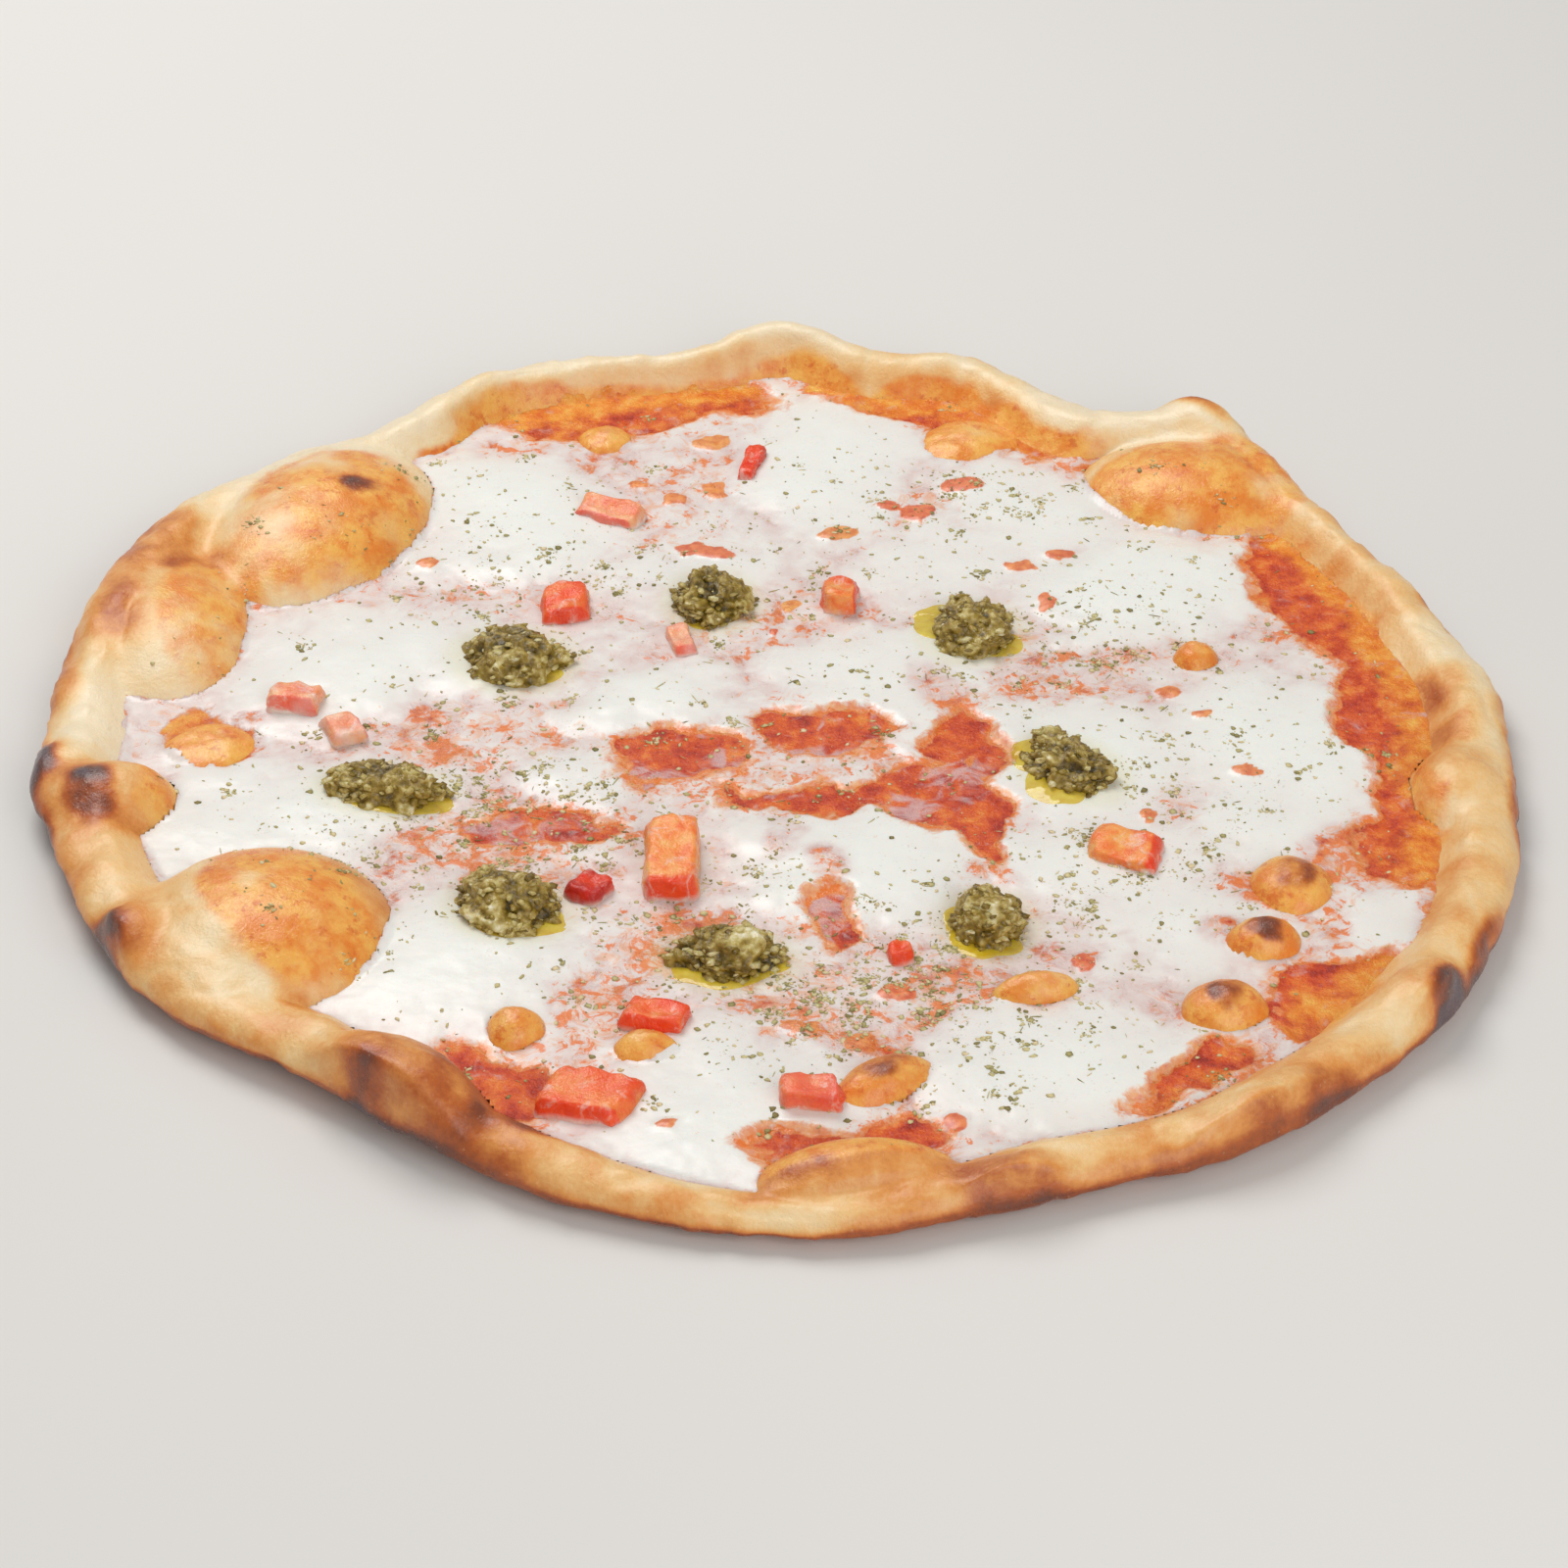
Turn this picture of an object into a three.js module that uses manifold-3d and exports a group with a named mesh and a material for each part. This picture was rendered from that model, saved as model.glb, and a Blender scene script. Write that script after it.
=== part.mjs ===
// A whole margherita pizza, baked and uncut, in millimetres with +Z up.
// The origin is on the surface that it lies on, under the middle of the crust. +X is the right-hand side and
// -Y is the side nearest the eater. Bearings are in degrees, anticlockwise from +X.
// A thin round of dough carries tomato sauce, a melted sheet of mozzarella with dried herbs on it,
// eight spoonfuls of pesto and diced tomato. The dough's rim is puffed up and blistered.

import * as THREE from "three";
import { mergeVertices } from "three/addons/utils/BufferGeometryUtils.js";
import Module from "manifold-3d";

const wasm = await Module();
wasm.setup();

// Driving dimensions
const OUTLINE_RADIUS = 161; // of the dough where it neither swells nor pinches
const RIM_WIDTH = 20; // from the outline to the foot of the rim's inner slope
const RIM_HEIGHT = 11.5; // from the table to the rim's crest
const CREST_SHARE = 0.4; // of the rim's width, from the outline to the crest
const DOUGH_THICKNESS = 3.6; // of the flat base under the sauce
const SAUCE_LEVEL = 5.3; // height of the sauce above the table
const SHEET_THICKNESS = 1.3; // of the melted cheese between its mounds
const LAYER_GAP = 0.3; // kept between one layer and the next
const HERB_FLECK = 3.4; // length of the largest pinches of dried herb

// How finely each form is divided
const ROUND_STEPS = 90;
const CHEESE_STEPS = 41;
const SAUCE_STEPS = 12;
const FIELD_SIDE = 312; // of the square that the layers are cut from

// The rim: each swell is centred on a bearing and fades over a spread of degrees. "out" moves the outline,
// "rise" the crest, "widen" the inner foot and "lift" the underside.
const RIM_SWELLS = [
  { bearing: 318, spread: 30, out: 11, rise: -0.5, widen: 0, lift: 0 },
  { bearing: 272, spread: 15, out: 5, rise: -3, widen: -6, lift: 0 },
  { bearing: 234, spread: 11, out: -7, rise: 1, widen: 3, lift: 3 },
  { bearing: 202, spread: 20, out: 0, rise: 0.5, widen: 5, lift: 3 },
  { bearing: 188, spread: 6, out: 3.5, rise: 1.5, widen: 2, lift: 1.5 },
  { bearing: 154, spread: 14, out: 6, rise: 3.5, widen: 4, lift: 0 },
  { bearing: 128, spread: 8, out: -3, rise: 0, widen: 0, lift: 0 },
  { bearing: 117, spread: 6, out: 2.5, rise: 2, widen: -2, lift: 0 },
  { bearing: 103, spread: 14, out: 0, rise: 1.5, widen: -5, lift: 0 },
  { bearing: 89, spread: 6, out: 7, rise: 4, widen: 0, lift: 0 },
  { bearing: 73, spread: 5, out: 2, rise: 2, widen: -2, lift: 0 },
  { bearing: 60, spread: 7, out: -7, rise: 1.5, widen: 2, lift: 0 },
  { bearing: 48, spread: 6, out: 6, rise: 3, widen: 2, lift: 0 },
  { bearing: 28, spread: 12, out: -3, rise: 1, widen: -4, lift: 0 },
  { bearing: 0, spread: 14, out: 2.5, rise: 0, widen: 2, lift: 0 },
];

// Gas bubbles that puff up the dough. "half" is half of each diameter, the first one along "turn".
const RIM_BUBBLES = [
  { name: "front left, sauced", at: [-107, -75], half: [29, 28], turn: 40, top: 18.5 },
  { name: "back left, sauced", at: [-109, 82], half: [37, 26], turn: 62, top: 18.5 },
  { name: "left, sauced", at: [-141, 40], half: [31, 21], turn: 98, top: 16 },
  { name: "back right, sauced", at: [103, 99], half: [29, 20], turn: -12, top: 15.5 },
  { name: "front left, browned", at: [-76, -131], half: [24, 16], turn: -32, top: 20.5 },
  { name: "left, charred", at: [-144, -31], half: [16, 13], turn: 20, top: 16 },
  { name: "left, charred tip", at: [-158, -20], half: [9, 9], turn: 0, top: 13 },
  { name: "lower left, charred", at: [-133, -81], half: [13, 10], turn: 60, top: 16 },
  { name: "front, browned inside", at: [17, -152], half: [21, 10], turn: 8, top: 13 },
  { name: "front", at: [48, -157], half: [14, 9], turn: 12, top: 13.5 },
  { name: "front right", at: [98, -137], half: [21, 11], turn: 34, top: 15 },
  { name: "right, charred", at: [135, -101], half: [14, 11], turn: 60, top: 14.5 },
  { name: "right", at: [150, -24], half: [14, 10], turn: 85, top: 14 },
  { name: "back right, charred", at: [106, 122], half: [15, 10], turn: -45, top: 17.5 },
];

// Small blisters of the base that stand through the cheese, and patches that only just reach its surface
const BLISTERS = [
  { name: "right", at: [111, -59], half: [7.5, 8], turn: 0, top: 11 },
  { name: "right, darkest", at: [103, -78], half: [7, 5.5], turn: 10, top: 11.2 },
  { name: "front right", at: [93, -100], half: [7.5, 6.5], turn: 0, top: 11.2 },
  { name: "front left", at: [-52, -107], half: [5.5, 5.5], turn: 0, top: 10.5 },
  { name: "front, by the tomato", at: [-25, -113], half: [6, 4.5], turn: 0, top: 9.6 },
  { name: "front, long", at: [23, -124], half: [10, 5.5], turn: 32, top: 11 },
  { name: "front, slim", at: [55, -94], half: [8, 4], turn: 8, top: 10 },
  { name: "right, small", at: [97, 27], half: [4.5, 5], turn: 0, top: 9.6 },
  { name: "left, flat", at: [-125, -7], half: [9, 8], turn: 10, top: 7.6 },
  { name: "back right, flat", at: [48, 122], half: [11, 9], turn: 0, top: 8.6 },
  { name: "back left, flat", at: [-41, 123], half: [6, 6], turn: 0, top: 8 },
];

// Slices of mozzarella that melted into low mounds. "rise" is their height over the sheet.
const MOUNDS = [
  { at: [-63, 88], half: [30, 31], turn: 20, rise: 2.5 },
  { at: [13, 112], half: [24, 36], turn: 0, rise: 2.2 },
  { at: [64, 92], half: [20, 25], turn: 20, rise: 1.7 },
  { at: [88, 55], half: [32, 25], turn: 14, rise: 3.1 },
  { at: [112, -6], half: [27, 29], turn: 0, rise: 2.5 },
  { at: [68, -12], half: [27, 28], turn: 30, rise: 2.4 },
  { at: [72, -50], half: [27, 21], turn: 0, rise: 1.7 },
  { at: [20, -50], half: [29, 26], turn: -20, rise: 2.4 },
  { at: [20, 24], half: [28, 20], turn: 0, rise: 1.8 },
  { at: [34, 4], half: [9, 18], turn: -10, rise: 1.4 },
  { at: [-26, 10], half: [21, 16], turn: 0, rise: 2 },
  { at: [-96, 24], half: [33, 27], turn: 20, rise: 2 },
  { at: [-108, -32], half: [38, 21], turn: 6, rise: 2 },
  { at: [-66, -88], half: [27, 27], turn: 0, rise: 2.2 },
  { at: [-8, -132], half: [29, 30], turn: 0, rise: 2 },
  { at: [58, -120], half: [36, 22], turn: 12, rise: 2.2 },
  { at: [-42, -16], half: [15, 14], turn: 0, rise: 1.3 },
  { at: [88, -74], half: [22, 18], turn: 0, rise: 1.5 },
  { at: [112, -38], half: [24, 17], turn: 0, rise: 1.7 },
  { at: [40, 66], half: [24, 22], turn: 0, rise: 1.4 },
  { at: [-18, 66], half: [24, 24], turn: 0, rise: 1.1 },
  { at: [-127, -50], half: [15, 14], turn: 0, rise: 1.1 },
  { at: [128, -72], half: [15, 15], turn: 0, rise: 1.4 },
];

// Where the sheet parts and the sauce shows. "depth" is how much of the cheese is missing at the middle.
const OPENINGS = [
  { name: "middle left", at: [-20, -13], half: [17, 11], turn: 4, depth: 5.5 },
  { name: "middle", at: [14, 0], half: [14, 11], turn: 0, depth: 6 },
  { name: "middle right", at: [35, -28], half: [17, 12], turn: -35, depth: 6 },
  { name: "middle far right", at: [44, -6], half: [9, 15], turn: -12, depth: 6 },
  { name: "middle thread", at: [8, -25], half: [24, 4], turn: 4, depth: 4 },
  { name: "middle tail", at: [46, -42], half: [6, 12], turn: 10, depth: 4.5 },
  { name: "left of the middle", at: [-49, -38], half: [17, 7], turn: 0, depth: 5 },
  { name: "front of the middle", at: [10, -66], half: [6, 11], turn: 12, depth: 4.5 },
  { name: "front left", at: [-55, -125], half: [14, 11], turn: -35, depth: 6.5 },
  { name: "front rim", at: [14, -142], half: [22, 6], turn: 4, depth: 6 },
  { name: "back left", at: [-36, 139], half: [40, 14], turn: 8, depth: 7 },
  { name: "back right", at: [52, 137], half: [44, 15], turn: -20, depth: 7 },
  { name: "back right, by the bubble", at: [122, 100], half: [18, 20], turn: 30, depth: 8 },
  { name: "right, back", at: [128, 58], half: [17, 33], turn: 22, depth: 8 },
  { name: "right", at: [142, 6], half: [16, 38], turn: 0, depth: 8 },
  { name: "right, front", at: [142, -32], half: [15, 30], turn: -6, depth: 8 },
  { name: "front right rim", at: [120, -93], half: [19, 10], turn: 42, depth: 7 },
  { name: "front rim, right", at: [82, -123], half: [16, 6], turn: 28, depth: 6 },
  { name: "left, golden", at: [-124, -6], half: [12, 10], turn: 8, depth: 5 },
];

// Spoonfuls of pesto
const PESTO = [
  { at: [-59, 26], half: [13, 11.5], turn: -20, top: 7 },
  { at: [-14, 50], half: [9.5, 11], turn: 0, top: 7.5 },
  { at: [46, 37], half: [10.5, 11.5], turn: -30, top: 6.5 },
  { at: [-85, -25], half: [13.5, 8], turn: -6, top: 6 },
  { at: [66, -18], half: [13, 8.5], turn: -50, top: 5.5 },
  { at: [-55, -67], half: [12.5, 10.5], turn: -28, top: 7 },
  { at: [-9, -84], half: [13.5, 8.5], turn: -8, top: 6 },
  { at: [46, -72], half: [8.5, 10], turn: 0, top: 7 },
];

// Diced tomato: length, width and height, and how far each piece leans
const TOMATO = [
  { at: [-39, 87], size: [18, 9, 5], turn: -25, lean: 10 },
  { at: [-48, 47], size: [12, 12, 7], turn: 12, lean: 8 },
  { at: [16, 50], size: [9, 12, 8], turn: -8, lean: -6 },
  { at: [-21, 33], size: [6, 12, 4], turn: 16, lean: 0 },
  { at: [-107, 7], size: [13, 8, 7], turn: -4, lean: 0 },
  { at: [-95, -3], size: [9, 10, 6], turn: 20, lean: 6 },
  { at: [-21, -53], size: [13, 25, 11], turn: 0, lean: 9 },
  { at: [-38, -61], size: [9, 9, 5], turn: -30, lean: 0 },
  { at: [76, -48], size: [17, 13, 5], turn: -24, lean: 6 },
  { at: [-23, -104], size: [15, 9, 6], turn: -16, lean: 0 },
  { at: [-36, -130], size: [21, 14, 7], turn: -14, lean: 6 },
  { at: [8, -130], size: [14, 9, 7], turn: -6, lean: 0 },
  { at: [-5, 109], size: [5, 15, 4.5], turn: -14, lean: 0 },
  { at: [27, -83], size: [6, 6, 4.5], turn: 20, lean: 0 },
];

// Pinches of dried herb, scattered about each place within "reach"
const HERB_PINCHES = [
  { at: [22, -100], reach: 34, count: 16 },
  { at: [-30, -50], reach: 38, count: 10 },
  { at: [60, -60], reach: 40, count: 9 },
  { at: [84, 40], reach: 40, count: 8 },
  { at: [20, 90], reach: 42, count: 9 },
  { at: [-70, 60], reach: 42, count: 7 },
  { at: [-90, -40], reach: 40, count: 8 },
  { at: [95, -30], reach: 34, count: 7 },
];

const radians = (degrees) => (degrees * Math.PI) / 180;
const bearingOf = (x, y) => (Math.atan2(y, x) * 180) / Math.PI;
const clamp = (value, low, high) => Math.min(Math.max(value, low), high);
const smoothstep = (value) => value * value * (3 - 2 * value);

// 1 at the middle of a swell, fading to 0 over a few spreads, the short way round the circle
function fade(bearing, swell) {
  const away = ((bearing - swell.bearing + 540) % 360) - 180;
  return Math.exp(-((away / swell.spread) ** 2));
}

function rimSum(bearing, quality) {
  return RIM_SWELLS.reduce((sum, swell) => sum + swell[quality] * fade(bearing, swell), 0);
}

// 0 at the middle of an oval, 1 on its edge
function ovalDistance(x, y, oval) {
  const turn = radians(oval.turn);
  const dx = x - oval.at[0];
  const dy = y - oval.at[1];
  const along = dx * Math.cos(turn) + dy * Math.sin(turn);
  const across = dy * Math.cos(turn) - dx * Math.sin(turn);
  return Math.hypot(along / oval.half[0], across / oval.half[1]);
}

function smoothMax(a, b, blend) {
  const overlap = Math.max(blend - Math.abs(a - b), 0) / blend;
  return Math.max(a, b) + (overlap * overlap * blend) / 4;
}

// Height of the dough's upper side once its bubbles have puffed it up
function puffed(x, y, height) {
  let top = height;
  for (const bubble of RIM_BUBBLES) {
    const distance = ovalDistance(x, y, bubble);
    if (distance >= 1) continue;
    const share = (1 - distance * distance) ** 0.65;
    top = smoothMax(top, DOUGH_THICKNESS + (bubble.top - DOUGH_THICKNESS) * share, 5);
  }
  return top;
}

// The rim's section at a bearing, from the middle of the underside round the outside to the middle of the
// base's upper side, as [radius, height, whether bubbles lift it].
function sectionAt(bearing) {
  const wobble = 0.7 * Math.sin(radians(bearing * 11)) + 0.5 * Math.sin(radians(bearing * 17 + 40));
  const outer = OUTLINE_RADIUS + rimSum(bearing, "out") + wobble;
  const width = RIM_WIDTH + rimSum(bearing, "widen");
  const crest = RIM_HEIGHT + rimSum(bearing, "rise") + 0.6 * Math.sin(radians(bearing * 9 + 70));
  const lift = rimSum(bearing, "lift") + 0.8;
  const belly = lift + 0.38 * (crest - lift);
  const foot = outer - width;
  const section = [
    [0, 0, false],
    [foot * 0.6, 0, false],
    [outer - width * 0.95, 0, false],
  ];
  for (const angle of [30, 60]) {
    const t = radians(angle);
    const curl = lift * smoothstep(angle / 90) + (belly - lift) * (1 - Math.cos(t));
    section.push([outer - 0.62 * width * (1 - Math.sin(t)), curl, false]);
  }
  for (const angle of [0, 30, 60, 90]) {
    const t = radians(angle);
    section.push([
      outer - CREST_SHARE * width * (1 - Math.cos(t)),
      belly + (crest - belly) * Math.sin(t),
      angle > 0,
    ]);
  }
  for (const share of [0.3, 0.62, 1]) {
    const drop = 0.5 + 0.5 * Math.cos(Math.PI * share);
    const height = DOUGH_THICKNESS + (crest - DOUGH_THICKNESS) * drop;
    section.push([outer - width * (CREST_SHARE + (1 - CREST_SHARE) * share), height, true]);
  }
  for (const share of [0.94, 0.87, 0.79, 0.7, 0]) {
    section.push([foot * share, DOUGH_THICKNESS, true]);
  }
  return section;
}

// Turns a geometry into a solid that can be joined and cut
function toSolid(geometry) {
  const bare = geometry.clone();
  bare.deleteAttribute("normal");
  bare.deleteAttribute("uv");
  const merged = mergeVertices(bare, 1e-4);
  return new wasm.Manifold(
    new wasm.Mesh({
      numProp: 3,
      vertProperties: merged.attributes.position.array,
      triVerts: new Uint32Array(merged.index.array),
    }),
  );
}

function toGeometry(solid) {
  const mesh = solid.getMesh();
  return new THREE.BufferGeometry()
    .setAttribute("position", new THREE.BufferAttribute(mesh.vertProperties, 3))
    .setIndex(new THREE.BufferAttribute(mesh.triVerts, 1));
}

// Runs over a geometry's points, moving each to where "place" says
function reshape(geometry, place) {
  const points = geometry.attributes.position;
  for (let i = 0; i < points.count; i++) {
    points.setXYZ(i, ...place(points.getX(i), points.getY(i), points.getZ(i), i));
  }
  return geometry;
}

// The dough: a turned form whose section changes with the bearing
function makeDough() {
  const stations = sectionAt(0).length;
  const section = sectionAt(0).map(([radius, height]) => new THREE.Vector2(radius, height));
  const lathe = new THREE.LatheGeometry(section, ROUND_STEPS);
  return reshape(lathe, (x, y, z, i) => {
    const step = Math.floor(i / stations) % ROUND_STEPS;
    const bearing = (step * 360) / ROUND_STEPS;
    const [radius, height, lifts] = sectionAt(bearing)[i % stations];
    const px = radius * Math.cos(radians(bearing));
    const py = radius * Math.sin(radians(bearing));
    return [px, py, lifts ? puffed(px, py, height) : height];
  });
}

// A blister stands in the base as a flattened ball
function makeBlister(blister) {
  const ball = new THREE.SphereGeometry(1, 12, 8).rotateX(Math.PI / 2);
  ball.scale(blister.half[0], blister.half[1], blister.top - DOUGH_THICKNESS + 1);
  ball.rotateZ(radians(blister.turn));
  return ball.translate(blister.at[0], blister.at[1], DOUGH_THICKNESS - 1);
}

function makeCrust() {
  let crust = toSolid(makeDough());
  if (crust.volume() < 0) throw new Error("the dough is inside out");
  const base = toSolid(
    new THREE.CylinderGeometry(OUTLINE_RADIUS, OUTLINE_RADIUS, 40, 24)
      .rotateX(Math.PI / 2)
      .translate(0, 0, 20.5),
  );
  for (const blister of BLISTERS) {
    crust = crust.add(toSolid(makeBlister(blister)).intersect(base));
  }
  return crust;
}

// Height of the cheese above the sauce, below zero where there is none
function cheeseThickness(x, y) {
  const wx = x + 2.4 * Math.sin(y / 8 + 1.3) + 1.3 * Math.sin(y / 3.7 + x / 9);
  const wy = y + 2.4 * Math.sin(x / 9 + 0.4) + 1.3 * Math.sin(x / 4.1 - y / 8);
  let thickness = SHEET_THICKNESS;
  for (const mound of MOUNDS) {
    const distance = ovalDistance(wx, wy, mound);
    if (distance < 1) thickness = smoothMax(thickness, SHEET_THICKNESS + mound.rise * (1 - distance ** 2) ** 0.8, 1);
  }
  for (const opening of OPENINGS) {
    const distance = ovalDistance(wx, wy, opening);
    if (distance < 1) thickness -= opening.depth * (1 - distance ** 2) ** 0.9;
  }
  return thickness;
}

const sauceTop = () => SAUCE_LEVEL;
const cheeseTop = (x, y) => sauceTop(x, y) + cheeseThickness(x, y);

// A square block whose upper side follows a height, divided into steps
function block(steps, floor, height) {
  const box = new THREE.BoxGeometry(FIELD_SIDE, FIELD_SIDE, 2, steps, steps, 1);
  return toSolid(reshape(box, (x, y, z) => [x, y, z > 0 ? Math.max(height(x, y), floor + 0.2) : floor]));
}

// A disc that reaches to the crest of the rim, which each layer is cut with
function insideRim() {
  const disc = new THREE.CylinderGeometry(1, 1, 60, 72).rotateX(Math.PI / 2);
  return toSolid(
    reshape(disc, (x, y, z) => {
      const bearing = bearingOf(x, y);
      const reach = OUTLINE_RADIUS + rimSum(bearing, "out") - 0.5 * (RIM_WIDTH + rimSum(bearing, "widen"));
      return [x * reach, y * reach, z];
    }),
  );
}

// The largest piece of a solid, without the scraps that a cut leaves beside it
function largestPiece(solid) {
  return solid.decompose().sort((a, b) => b.volume() - a.volume())[0];
}

// Draws between 0 and 1, the same on every run
function seededDraws(seed) {
  let state = seed;
  return () => {
    state = (state * 1664525 + 1013904223) % 4294967296;
    return state / 4294967296;
  };
}

function makeHerbs(isFree) {
  const draw = seededDraws(7);
  const flecks = [];
  for (const pinch of HERB_PINCHES) {
    for (let n = 0; n < pinch.count; n++) {
      const angle = draw() * 2 * Math.PI;
      const away = pinch.reach * Math.sqrt(draw());
      const x = pinch.at[0] + away * Math.cos(angle);
      const y = pinch.at[1] + away * Math.sin(angle);
      const length = HERB_FLECK * (0.6 + 0.4 * draw());
      const turn = draw() * Math.PI;
      if (!isFree(x, y)) continue;
      const fleck = new THREE.OctahedronGeometry(0.5).scale(length, length * 0.6, 1.5).rotateZ(turn);
      flecks.push(toSolid(fleck.translate(x, y, cheeseTop(x, y) + 0.15)));
    }
  }
  return flecks;
}

// A spoonful of pesto: a low heap with lumps on it
function makePesto(heap, number) {
  const ball = new THREE.IcosahedronGeometry(1, 2);
  const floor = cheeseTop(...heap.at) - 1.5;
  reshape(ball, (x, y, z) => {
    const lump = 1 + 0.1 * Math.sin(5 * x + number) * Math.sin(4 * y + 2 * number) + 0.06 * Math.sin(9 * x + 7 * y);
    return [x * heap.half[0] * lump, y * heap.half[1] * lump, Math.max(z, -0.4) * (heap.top + 1.5) * lump];
  });
  return ball.rotateZ(radians(heap.turn)).translate(heap.at[0], heap.at[1], floor);
}

// A cut piece of tomato: a box with eased corners and sides that aren't quite square
function makeTomato(dice, number) {
  const [length, width, height] = dice.size;
  const box = new THREE.BoxGeometry(1, 1, 1, 2, 2, 2);
  reshape(box, (x, y, z) => {
    const edges = (Math.abs(x) === 0.5) + (Math.abs(y) === 0.5) + (Math.abs(z) === 0.5);
    const ease = 1 - 0.07 * (edges - 1);
    const skew = 0.12 * Math.sin(number * 2.1);
    const taper = 1 - 0.16 * (z + 0.5);
    return [(x * taper + skew * y) * length * ease, (y * taper + skew * z) * width * ease, z * height * ease];
  });
  box.rotateX(radians(dice.lean)).rotateZ(radians(dice.turn));
  const sunk = 0.36 * height;
  return box.translate(dice.at[0], dice.at[1], cheeseTop(...dice.at) + height / 2 - sunk);
}

const MATERIALS = {
  crust: new THREE.MeshStandardMaterial({ color: 0xdda862, roughness: 0.62, metalness: 0 }),
  sauce: new THREE.MeshStandardMaterial({ color: 0xc8401a, roughness: 0.35, metalness: 0 }),
  cheese: new THREE.MeshStandardMaterial({ color: 0xf1efe8, roughness: 0.3, metalness: 0 }),
  pesto: new THREE.MeshStandardMaterial({ color: 0x6d6a26, roughness: 0.45, metalness: 0 }),
  tomato: new THREE.MeshStandardMaterial({ color: 0xe2542c, roughness: 0.3, metalness: 0 }),
};

function named(name, solid, material) {
  const mesh = new THREE.Mesh(toGeometry(solid), material);
  mesh.name = name;
  return mesh;
}

const pizza = new THREE.Group();

const crust = makeCrust();
const inside = insideRim();
const raisedCrust = crust.translate(0, 0, LAYER_GAP);

const sauce = largestPiece(block(SAUCE_STEPS, 2, sauceTop).intersect(inside).subtract(raisedCrust));
const raisedSauce = block(SAUCE_STEPS, 1, (x, y) => sauceTop(x, y) + LAYER_GAP);

let cheese = block(CHEESE_STEPS, 2, cheeseTop).intersect(inside);
cheese = largestPiece(cheese.subtract(raisedCrust).subtract(raisedSauce));

// The toppings rest on whichever layer lies under them
const ground = block(CHEESE_STEPS, 1, (x, y) => Math.max(cheeseTop(x, y), sauceTop(x, y)) + LAYER_GAP);
const standing = [];
const place = (name, geometry, material) => {
  const solid = toSolid(geometry).subtract(ground).subtract(raisedCrust);
  standing.push({ name, solid: largestPiece(solid), material });
};
PESTO.forEach((heap, i) => place("pesto_" + (i + 1), makePesto(heap, i), MATERIALS.pesto));
TOMATO.forEach((dice, i) => place("tomato_" + (i + 1), makeTomato(dice, i), MATERIALS.tomato));

const isFree = (x, y) =>
  cheeseThickness(x, y) > 1 &&
  PESTO.every((heap) => ovalDistance(x, y, heap) > 1.4) &&
  TOMATO.every((dice) => Math.hypot(x - dice.at[0], y - dice.at[1]) > 0.75 * Math.max(...dice.size)) &&
  BLISTERS.every((blister) => ovalDistance(x, y, blister) > 1.5) &&
  RIM_BUBBLES.every((bubble) => ovalDistance(x, y, bubble) > 1.15) &&
  Math.hypot(x, y) < OUTLINE_RADIUS - RIM_WIDTH - 6;
cheese = cheese.add(makeHerbs(isFree).reduce((all, fleck) => all.add(fleck)));

pizza.add(named("crust", crust, MATERIALS.crust));
pizza.add(named("sauce", sauce, MATERIALS.sauce));
pizza.add(named("cheese", largestPiece(cheese), MATERIALS.cheese));
for (const { name, solid, material } of standing) pizza.add(named(name, solid, material));

export default pizza;
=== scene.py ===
from math import cos, pi, radians, sin

import bmesh
import bpy
import numpy as np
from mathutils import Matrix, Vector


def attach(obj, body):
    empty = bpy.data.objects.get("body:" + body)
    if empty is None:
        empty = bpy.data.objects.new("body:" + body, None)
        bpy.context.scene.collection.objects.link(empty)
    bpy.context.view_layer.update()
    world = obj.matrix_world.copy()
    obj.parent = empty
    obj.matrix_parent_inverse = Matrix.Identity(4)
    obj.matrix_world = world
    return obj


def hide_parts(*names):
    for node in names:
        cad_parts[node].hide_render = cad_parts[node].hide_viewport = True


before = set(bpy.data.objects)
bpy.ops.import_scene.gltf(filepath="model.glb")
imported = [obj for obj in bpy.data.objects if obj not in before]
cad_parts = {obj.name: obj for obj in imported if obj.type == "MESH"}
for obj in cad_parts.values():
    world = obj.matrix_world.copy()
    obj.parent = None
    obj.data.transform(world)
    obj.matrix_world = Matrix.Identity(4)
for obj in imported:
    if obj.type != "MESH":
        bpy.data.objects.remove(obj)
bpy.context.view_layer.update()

# Sizes are in millimetres and heights are above the surface that the pizza lies on. Bearings are in degrees,
# anticlockwise from +X, and -Y is the side nearest the eater.
MM = 0.001
OUTLINE_RADIUS = 161
RIM_WIDTH = 20
RIM_HEIGHT = 11.5
CREST_SHARE = 0.4
DOUGH_THICKNESS = 3.6
SAUCE_LEVEL = 5.3
SHEET_THICKNESS = 1.0
ROUND_STEPS = 720
CHEESE_STEPS = 344
SAUCE_STEPS = 340
HERB_COUNT = 7000

# The rim's swells: bearing, spread, and what they add to the outline, the crest, the width and the underside
RIM_SWELLS = [
    (318, 30, 11, -0.5, 0, 0),
    (272, 15, 5, -3, -6, 0),
    (234, 11, -7, 1, 3, 3),
    (202, 20, 0, 0.5, 5, 3),
    (188, 6, 3.5, 1.5, 2, 1.5),
    (154, 14, 6, 3.5, 4, 0),
    (128, 8, -3, 0, 0, 0),
    (117, 6, 2.5, 2, -2, 0),
    (103, 14, 0, 1.5, -5, 0),
    (89, 6, 7, 4, 0, 0),
    (73, 5, 2, 2, -2, 0),
    (60, 7, -7, 1.5, 2, 0),
    (48, 6, 6, 3, 2, 0),
    (28, 12, -3, 1, -4, 0),
    (0, 14, 2.5, 0, 2, 0),
]

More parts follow.
